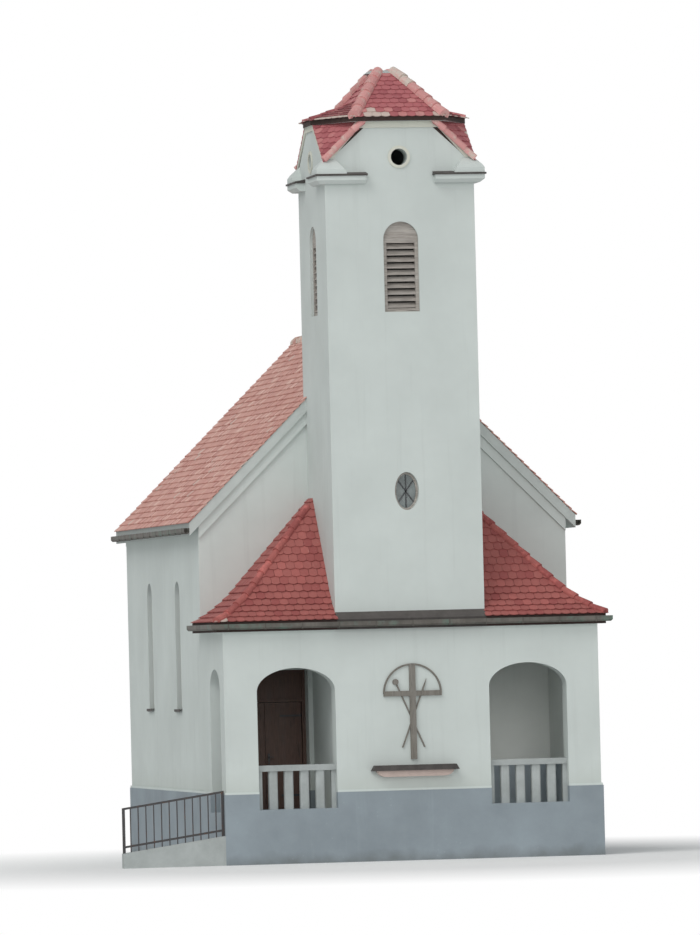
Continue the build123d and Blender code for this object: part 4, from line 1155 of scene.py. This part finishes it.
class CHAPEL_OT_tower_roof(bpy.types.Operator):
    """Tile the helm's slopes, the corner roofs, and their hips and verges"""

    bl_idname = "chapel.tower_roof"
    bl_label = "Tower Roof Tiles"

    def execute(self, context):
        tiles = context.scene.chapel_tiles
        head = TowerHead(tiles)
        dark, clay, light, mortar = tiles.helm_dark[:], tiles.helm[:], tiles.helm_light[:], tiles.mortar[:]
        finish = tile_finish("helm_clay", dark, clay, light, mortar, 0.3)
        # Painted shade: the skirt's slopes and hips get darker copies of the helm's tiles, standing for the
        # shade they lie in.
        painted_shade_helm_finish = tile_finish("helm_side_clay", shade(dark, 0.55), shade(clay, 0.6), shade(light, 0.7),
                                  mortar, 0.3)
        edge_finish = hip_finish("helm_hip_clay", tiles.helm_hip[:], shade(tiles.helm_hip, 1.25), mortar)
        painted_shade_hip_finish = hip_finish("helm_side_hip_clay", shade(dark, 0.8), shade(clay, 0.95), light)
        shape = plain_tile(tiles, tiles.tower_course)
        self.tile_helm(head, tiles, shape, finish, painted_shade_helm_finish)
        self.tile_hips(head, tiles, edge_finish, painted_shade_hip_finish)
        self.tile_corners(head, tiles, shape, finish, edge_finish)
        return {"FINISHED"}

    def tile_helm(self, head, tiles, shape, finish, painted_shade_helm_finish):
        """The steep body's four slopes, and the skirt's slopes at the sides and corners."""
        front, sides = bmesh.new(), bmesh.new()
        for number, end in enumerate((-1, 1)):
            tile_facet(front, shape, head.front(end), head.peak, tiles, 51 + number, True)
        for number, (side, end) in enumerate(CORNERS):
            corner = head.corner(side, end)
            tile_facet(sides, shape, (corner.eave, corner.flank), head.skirt_peak, tiles, 55 + number, True)
        for number, side in enumerate((-1, 1)):
            tile_facet(sides, shape, head.flank(side), head.skirt_peak, tiles, 59 + number, True)
            tile_facet(front, shape, head.side(side), head.peak, tiles, 63 + number)
        # The skirt's tiles take the darker copy, as painted shade.
        for bm, name, clay in ((front, "helm_tiles_front", finish), (sides, "helm_tiles_sides", painted_shade_helm_finish)):
            trim(bm, (0, 0, head.top_z + SEAT), UP)
            finish_piece(name, bm, clay)

    def tile_hips(self, head, tiles, edge_finish, painted_shade_hip_finish):
        """Half-round tiles up the steep body's hips and the skirt's, which end under the body."""
        share = (head.top_z - head.eave_z) / (head.peak.z - head.eave_z)
        side_share, eave_seat = 0.46, 0.015
        lean, side_lean = Vector((1.2, 1, 1.6)), Vector((1, 0.4, 1))
        hips = Field(half_round_tile(tiles, 1.2), 61)
        side_hips = Field(half_round_tile(tiles, 0.62, narrow=0.85), 62)
        for side, end in CORNERS:
            corner, turn = head.corner(side, end), Matrix.Diagonal((side, end, 1))
            lay_line(hips, corner.eave + UP * eave_seat, corner.eave.lerp(head.peak, share) + UP * SEAT,
                     tiles.hip_length, turn @ lean)
            lay_line(side_hips, corner.flank + UP * SEAT, corner.flank.lerp(head.skirt_peak, side_share),
                     tiles.hip_length, turn @ side_lean)
        finish_piece("helm_hip_tiles", hips.close(), edge_finish)
        # The skirt's hips take the darker copy, as painted shade.
        finish_piece("helm_side_hip_tiles", side_hips.close(), painted_shade_hip_finish)

    def tile_corners(self, head, tiles, shape, finish, edge_finish):
        """The corner roofs' courses, and half-round tiles up the rakes of the front and rear gables."""
        below, half_width, reach, lap, top_lap = 0.16, 1.75, 1.25, 0.05, 0.08
        past_front, past_side = 0.09, 0.035
        verge_seat, verge_lean = Vector((0.02, 0.055, 0.02)), Vector((1, 0.9, 0.9))
        corners = bmesh.new()
        verges = Field(half_round_tile(tiles, 0.72, 1.05, 0.85), 81)
        for number, (side, end) in enumerate(CORNERS):
            tip, clip = head.corner(side, end).tip, head.corner(side, end).clip
            turn = Matrix.Diagonal((side, end, 1))
            inward, pitch = slope_of(head.corner_plane(side, end)[1])
            foot = tip - inward * below * cos(pitch) - UP * below * sin(pitch)
            field = Field(shape, 71 + number)
            lay_slope(field, foot, inward, straight_slope(pitch), (-half_width, half_width), reach, tiles,
                      tiles.tower_course * 0.9)
            bm = field.close()
            trim(bm, head.centre + BACK * end * (head.half + past_front), BACK * end)
            trim(bm, head.centre + Vector((side * (head.half + past_side), 0, 0)), (side, 0, 0))
            trim(bm, head.centre, -BACK * end)
            trim(bm, clip + inward * lap, inward)
            add_to(corners, bm)
            lift = turn @ verge_seat
            lay_line(verges, tip + lift - UP * lap, clip + lift, tiles.hip_length * 0.8, turn @ verge_lean)
        finish_piece("corner_tiles", corners, finish)
        bm = verges.close()
        trim(bm, (0, 0, head.clip_z + top_lap), UP)
        finish_piece("gable_verge_tiles", bm, edge_finish)


class CHAPEL_OT_windows(bpy.types.Operator):
    """Frames, bars and sill sheets of the nave's windows, and bars of the oval window"""

    bl_idname = "chapel.windows"
    bl_label = "Window Frames and Bars"

    def execute(self, context):
        parts = context.scene.chapel_fittings
        frame_wood = wood_finish("window_wood", (0.16, 0.12, 0.09), (1.0, 1.0, 0.08), 0.4, 0.6)
        lead = metal_finish("window_lead", (0.06, 0.062, 0.066))
        sheet_metal = metal_finish("sill_sheet", parts.metal[:])
        outer_x = -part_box("nave_window_glass")[0].x
        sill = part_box("nave_window_sills")[1]
        foot, spring, half = WINDOW_FOOT, WINDOW_SPRING, WINDOW_HALF
        face, bar = parts.frame_face, parts.window_bar
        bite, frame_out, bar_out, rail_rise, panes = 0.002, 0.05, 0.022, 0.06, 6
        sheet_lap, sheet_out, sheet_in, sheet_rise = 0.05, 0.012, 0.10, 0.006
        fold_in, fold_drop = 0.004, 0.045
        frame_depth = (outer_x - bite, outer_x + frame_out)
        bar_depth = (outer_x - bite, outer_x + bar_out)
        rail = foot + rail_rise
        frames, bars, sheets = bmesh.new(), bmesh.new(), bmesh.new()
        for side in (-1, 1):
            for place in WINDOW_PLACES:
                near, far = place - half, place + half
                x0, x1 = sorted(side * x for x in frame_depth)
                section = [(x0, near, foot), (x1, near, foot),
                           (x1, near + face, foot), (x0, near + face, foot)]
                swept_arch(frames, section, (0, place, spring), (1, 0, 0), spring - foot)
                side_block(frames, side, frame_depth, (near, far), (rail, rail + face))
                side_block(bars, side, bar_depth, (place - bar / 2, place + bar / 2),
                           (foot + face, spring + half - face))
                for number in range(1, panes + 1):
                    level = foot + number * (spring - foot) / panes
                    side_block(bars, side, bar_depth, (near + face, far - face),
                               (level - bar / 2, level + bar / 2))
                width = (near - sheet_lap, far + sheet_lap)
                side_block(sheets, side, (sill.x + sheet_out, sill.x - sheet_in), width,
                           (sill.z - bite, sill.z + sheet_rise))
                side_block(sheets, side, (sill.x + sheet_out, sill.x + fold_in), width,
                           (sill.z - fold_drop, sill.z))
        finish_piece("window_sill_sheets", sheets, sheet_metal)
        finish_piece("nave_window_frames", frames, frame_wood)
        finish_piece("nave_window_bars", bars, lead)

        low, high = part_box("tower_oval_window")
        place = ((low.x + high.x) / 2, low.y, (low.z + high.z) / 2)
        half_bar, bar_out, lean, short, tall = 0.011, 0.016, 0.62, 0.30, 0.335
        rose = bmesh.new()
        for angle, reach in ((-lean, short), (lean, short), (0.0, tall)):
            turned_block(rose, (-half_bar, -bar_out, -reach), (half_bar, 0.0, reach), angle, "Y", place)
        finish_piece("oval_window_bars", rose, lead)
        return {"FINISHED"}


class CHAPEL_OT_plaster_edges(bpy.types.Operator):
    """The plaster's drip edge over the plinth, in plaster made a little lighter as a painted highlight"""

    bl_idname = "chapel.plaster_edges"
    bl_label = "Plaster Edges"

    def execute(self, context):
        walls = context.scene.chapel_walls
        # Painted highlight: the drip edge's plaster is a little lighter than the walls'.
        finish = plaster_finish("drip_plaster", shade(walls.plaster[:], 1.05), 0.0)
        low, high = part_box("porch_front_wall")
        nave_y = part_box("nave_left_wall")[0].y
        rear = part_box("nave_rear_wall")[1]
        foot, top = PLINTH_TOP, PLINTH_TOP + walls.drip
        proud, bite, into_porch = 0.028, 0.01, 0.5
        edge = bmesh.new()
        for start, end in ((low.x - proud, -ARCHES_OUTER), (-ARCHES_INNER, ARCHES_INNER),
                           (ARCHES_OUTER, high.x + proud)):
            block(edge, (start, low.y - proud, foot), (end, low.y + bite, top))
        for start, end in ((low.y, ENTRANCE_FRONT), (ENTRANCE_BACK, nave_y)):
            block(edge, (low.x - proud, start, foot), (low.x + bite, end, top))
        block(edge, (high.x - bite, low.y, foot), (high.x + proud, nave_y, top))
        for side in (-1, 1):
            side_block(edge, side, (rear.x - bite, rear.x + proud), (nave_y - into_porch, rear.y + proud),
                       (foot, top))
        block(edge, (-rear.x - proud, rear.y - bite, foot), (rear.x + proud, rear.y + proud, top))
        finish_piece("plaster_drip_edge", edge, finish)
        return {"FINISHED"}


class CHAPEL_OT_fittings(bpy.types.Operator):
    """Painted-light linings and a lightened dado in the right bay, dark boards as painted shade behind the
    louvres, gutter straps, door fittings
    """

    bl_idname = "chapel.fittings"
    bl_label = "Linings and Fittings"

    def execute(self, context):
        walls = context.scene.chapel_walls
        parts = context.scene.chapel_fittings
        self.line_right_bay(walls)
        self.shade_behind_louvres()
        self.strap_gutters(parts)
        self.fit_doors(parts)
        return {"FINISHED"}

    def line_right_bay(self, walls):
        """Thin coats on the back and right walls: plaster above and dado paint below, both lighter than the
        walls and plinth elsewhere as painted light in the shaded bay.
        """
        inner_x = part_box("porch_right_wall")[0].x
        tower_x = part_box("tower_lower_walls")[1].x
        back_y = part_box("nave_front_wall_right")[0].y
        front_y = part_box("porch_front_wall")[1].y
        foot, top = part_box("porch_floor")[1].z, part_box("porch_ceiling")[0].z - 0.002
        # Painted light: the bay's plaster and dado are lighter copies of the wall plaster and the plinth
        # paint, to brighten the shaded bay.
        limewash = plaster_finish("limewash", walls.limewash[:], 0.0)
        dado = plinth_finish("dado_paint", shade(walls.plinth, 1.5))
        for name, finish, low, high, slot, deep in (
                ("porch_lit_lining", limewash, DADO_TOP, top, "white_plaster", 0.008),
                ("porch_dado", dado, foot, DADO_TOP, "plinth_paint", 0.012)):
            bm = bmesh.new()
            block(bm, (tower_x, back_y - deep, low), (inner_x - deep, back_y, high))
            block(bm, (inner_x - deep, front_y, low), (inner_x, back_y, high))
            finish_piece(name, bm, finish)

    def shade_behind_louvres(self):
        """A dark board in the wall behind each of the four louvred windows, as painted shade of the unlit
        belfry.
        """
        # Painted shade: a near-black board stands for the darkness behind the louvres.
        boards = wood_finish("louvre_back", (0.030, 0.026, 0.024), (1.0, 1.0, 0.08), 0.3, 0.8)
        low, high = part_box("tower_shaft")
        louvre_low, louvre_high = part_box("tower_louvres")
        centre = (low + high) / 2
        face_y, half, deep, thick = low.y - centre.y, 0.37, 0.181, 0.019
        front, back = face_y + deep, face_y + deep + thick
        bm = bmesh.new()
        for number in range(4):
            turned_block(bm, (-half, front, louvre_low.z), (half, back, louvre_high.z), number * pi / 2, "Z",
                         (centre.x, centre.y, 0))
        finish_piece("louvre_shade_boards", bm, boards)

    def strap_gutters(self, parts):
        """Straps round the gutters of the porch and the nave."""
        strap = metal_finish("strap_metal", shade(parts.gutter[:], 0.8))
        half, reach, skin, cap = 0.015, 0.13, 0.004, 0.002
        porch_count, porch_margin, nave_count, nave_margin = 11, 0.35, 12, 0.3
        bm = bmesh.new()
        low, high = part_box("porch_gutter")
        for x in spaced(low.x + porch_margin, high.x - porch_margin, porch_count):
            block(bm, (x - half, low.y - skin, low.z - skin), (x + half, low.y + reach, high.z + cap))
        low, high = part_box("nave_gutters")
        for side in (-1, 1):
            for y in spaced(low.y + nave_margin, high.y - nave_margin, nave_count):
                side_block(bm, side, (high.x + skin, high.x - reach), (y - half, y + half),
                           (low.z - skin, high.z + cap))
        finish_piece("gutter_straps", bm, strap)

    def fit_doors(self, parts):
        """Hinge straps on both leaves, and the right leaf's lock plate and handle."""
        iron = iron_finish("door_iron", parts.iron[:])
        strap_place, strap_start, strap_end, strap_half = 0.28, 0.015, 0.46, 0.02
        for side, word in SIDES:
            low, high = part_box("door_leaf_" + word)
            hinge_x, shut_x = (low.x, high.x) if side < 0 else (high.x, low.x)
            bm = bmesh.new()
            for level in (low.z + strap_place, high.z - strap_place):
                x0, x1 = sorted((hinge_x - side * strap_start, hinge_x - side * strap_end))
                block(bm, (x0, low.y - 0.005, level - strap_half), (x1, low.y + 0.001, level + strap_half))
            if side > 0:
                # The lock plate, and the handle's neck and grip, from the leaf's free lower corner
                foot = Vector((shut_x, low.y, low.z))
                for near, far in (((0.035, -0.004, 0.93), (0.08, 0.001, 1.15)),
                                  ((0.05, -0.05, 1.07), (0.066, 0.0, 1.086)),
                                  ((0.05, -0.05, 1.07), (0.16, -0.036, 1.086))):
                    block(bm, foot + Vector(near), foot + Vector(far))
            finish_piece(f"door_fittings_{word}", bm, iron, word + "_leaf")


# Panel


OPERATORS = (
    CHAPEL_OT_stage,
    CHAPEL_OT_finishes,
    CHAPEL_OT_nave_roof,
    CHAPEL_OT_porch_roof,
    CHAPEL_OT_tower_head,
    CHAPEL_OT_tower_roof,
    CHAPEL_OT_windows,
    CHAPEL_OT_plaster_edges,
    CHAPEL_OT_fittings,
)
GROUPS = (("chapel_studio", ChapelStudio), ("chapel_tiles", ChapelTiles), ("chapel_walls", ChapelWalls),
          ("chapel_fittings", ChapelFittings))


class CHAPEL_PT_panel(bpy.types.Panel):
    """Settings and makers of the chapel's pieces"""

    bl_idname = "CHAPEL_PT_panel"
    bl_label = "Small Chapel"
    bl_space_type = "VIEW_3D"
    bl_region_type = "UI"
    bl_category = "Chapel"

    def draw(self, context):
        for operator in OPERATORS:
            self.layout.operator(operator.bl_idname)
        for name, group in GROUPS:
            box = self.layout.box()
            for key in group.__annotations__:
                box.prop(getattr(context.scene, name), key)


def register():
    """Add the settings, the operators and the panel."""
    for name, group in GROUPS:
        bpy.utils.register_class(group)
        setattr(bpy.types.Scene, name, PointerProperty(type=group))
    for operator in OPERATORS:
        bpy.utils.register_class(operator)
    bpy.utils.register_class(CHAPEL_PT_panel)


def unregister():
    """Take them away again."""
    bpy.utils.unregister_class(CHAPEL_PT_panel)
    for operator in reversed(OPERATORS):
        bpy.utils.unregister_class(operator)
    for name, group in reversed(GROUPS):
        delattr(bpy.types.Scene, name)
        bpy.utils.unregister_class(group)


def main():
    """Make every piece in order."""
    register()
    bpy.ops.chapel.stage()
    bpy.ops.chapel.finishes()
    bpy.ops.chapel.nave_roof()
    bpy.ops.chapel.porch_roof()
    bpy.ops.chapel.tower_head()
    bpy.ops.chapel.tower_roof()
    bpy.ops.chapel.windows()
    bpy.ops.chapel.plaster_edges()
    bpy.ops.chapel.fittings()


if __name__ == "__main__":
    main()
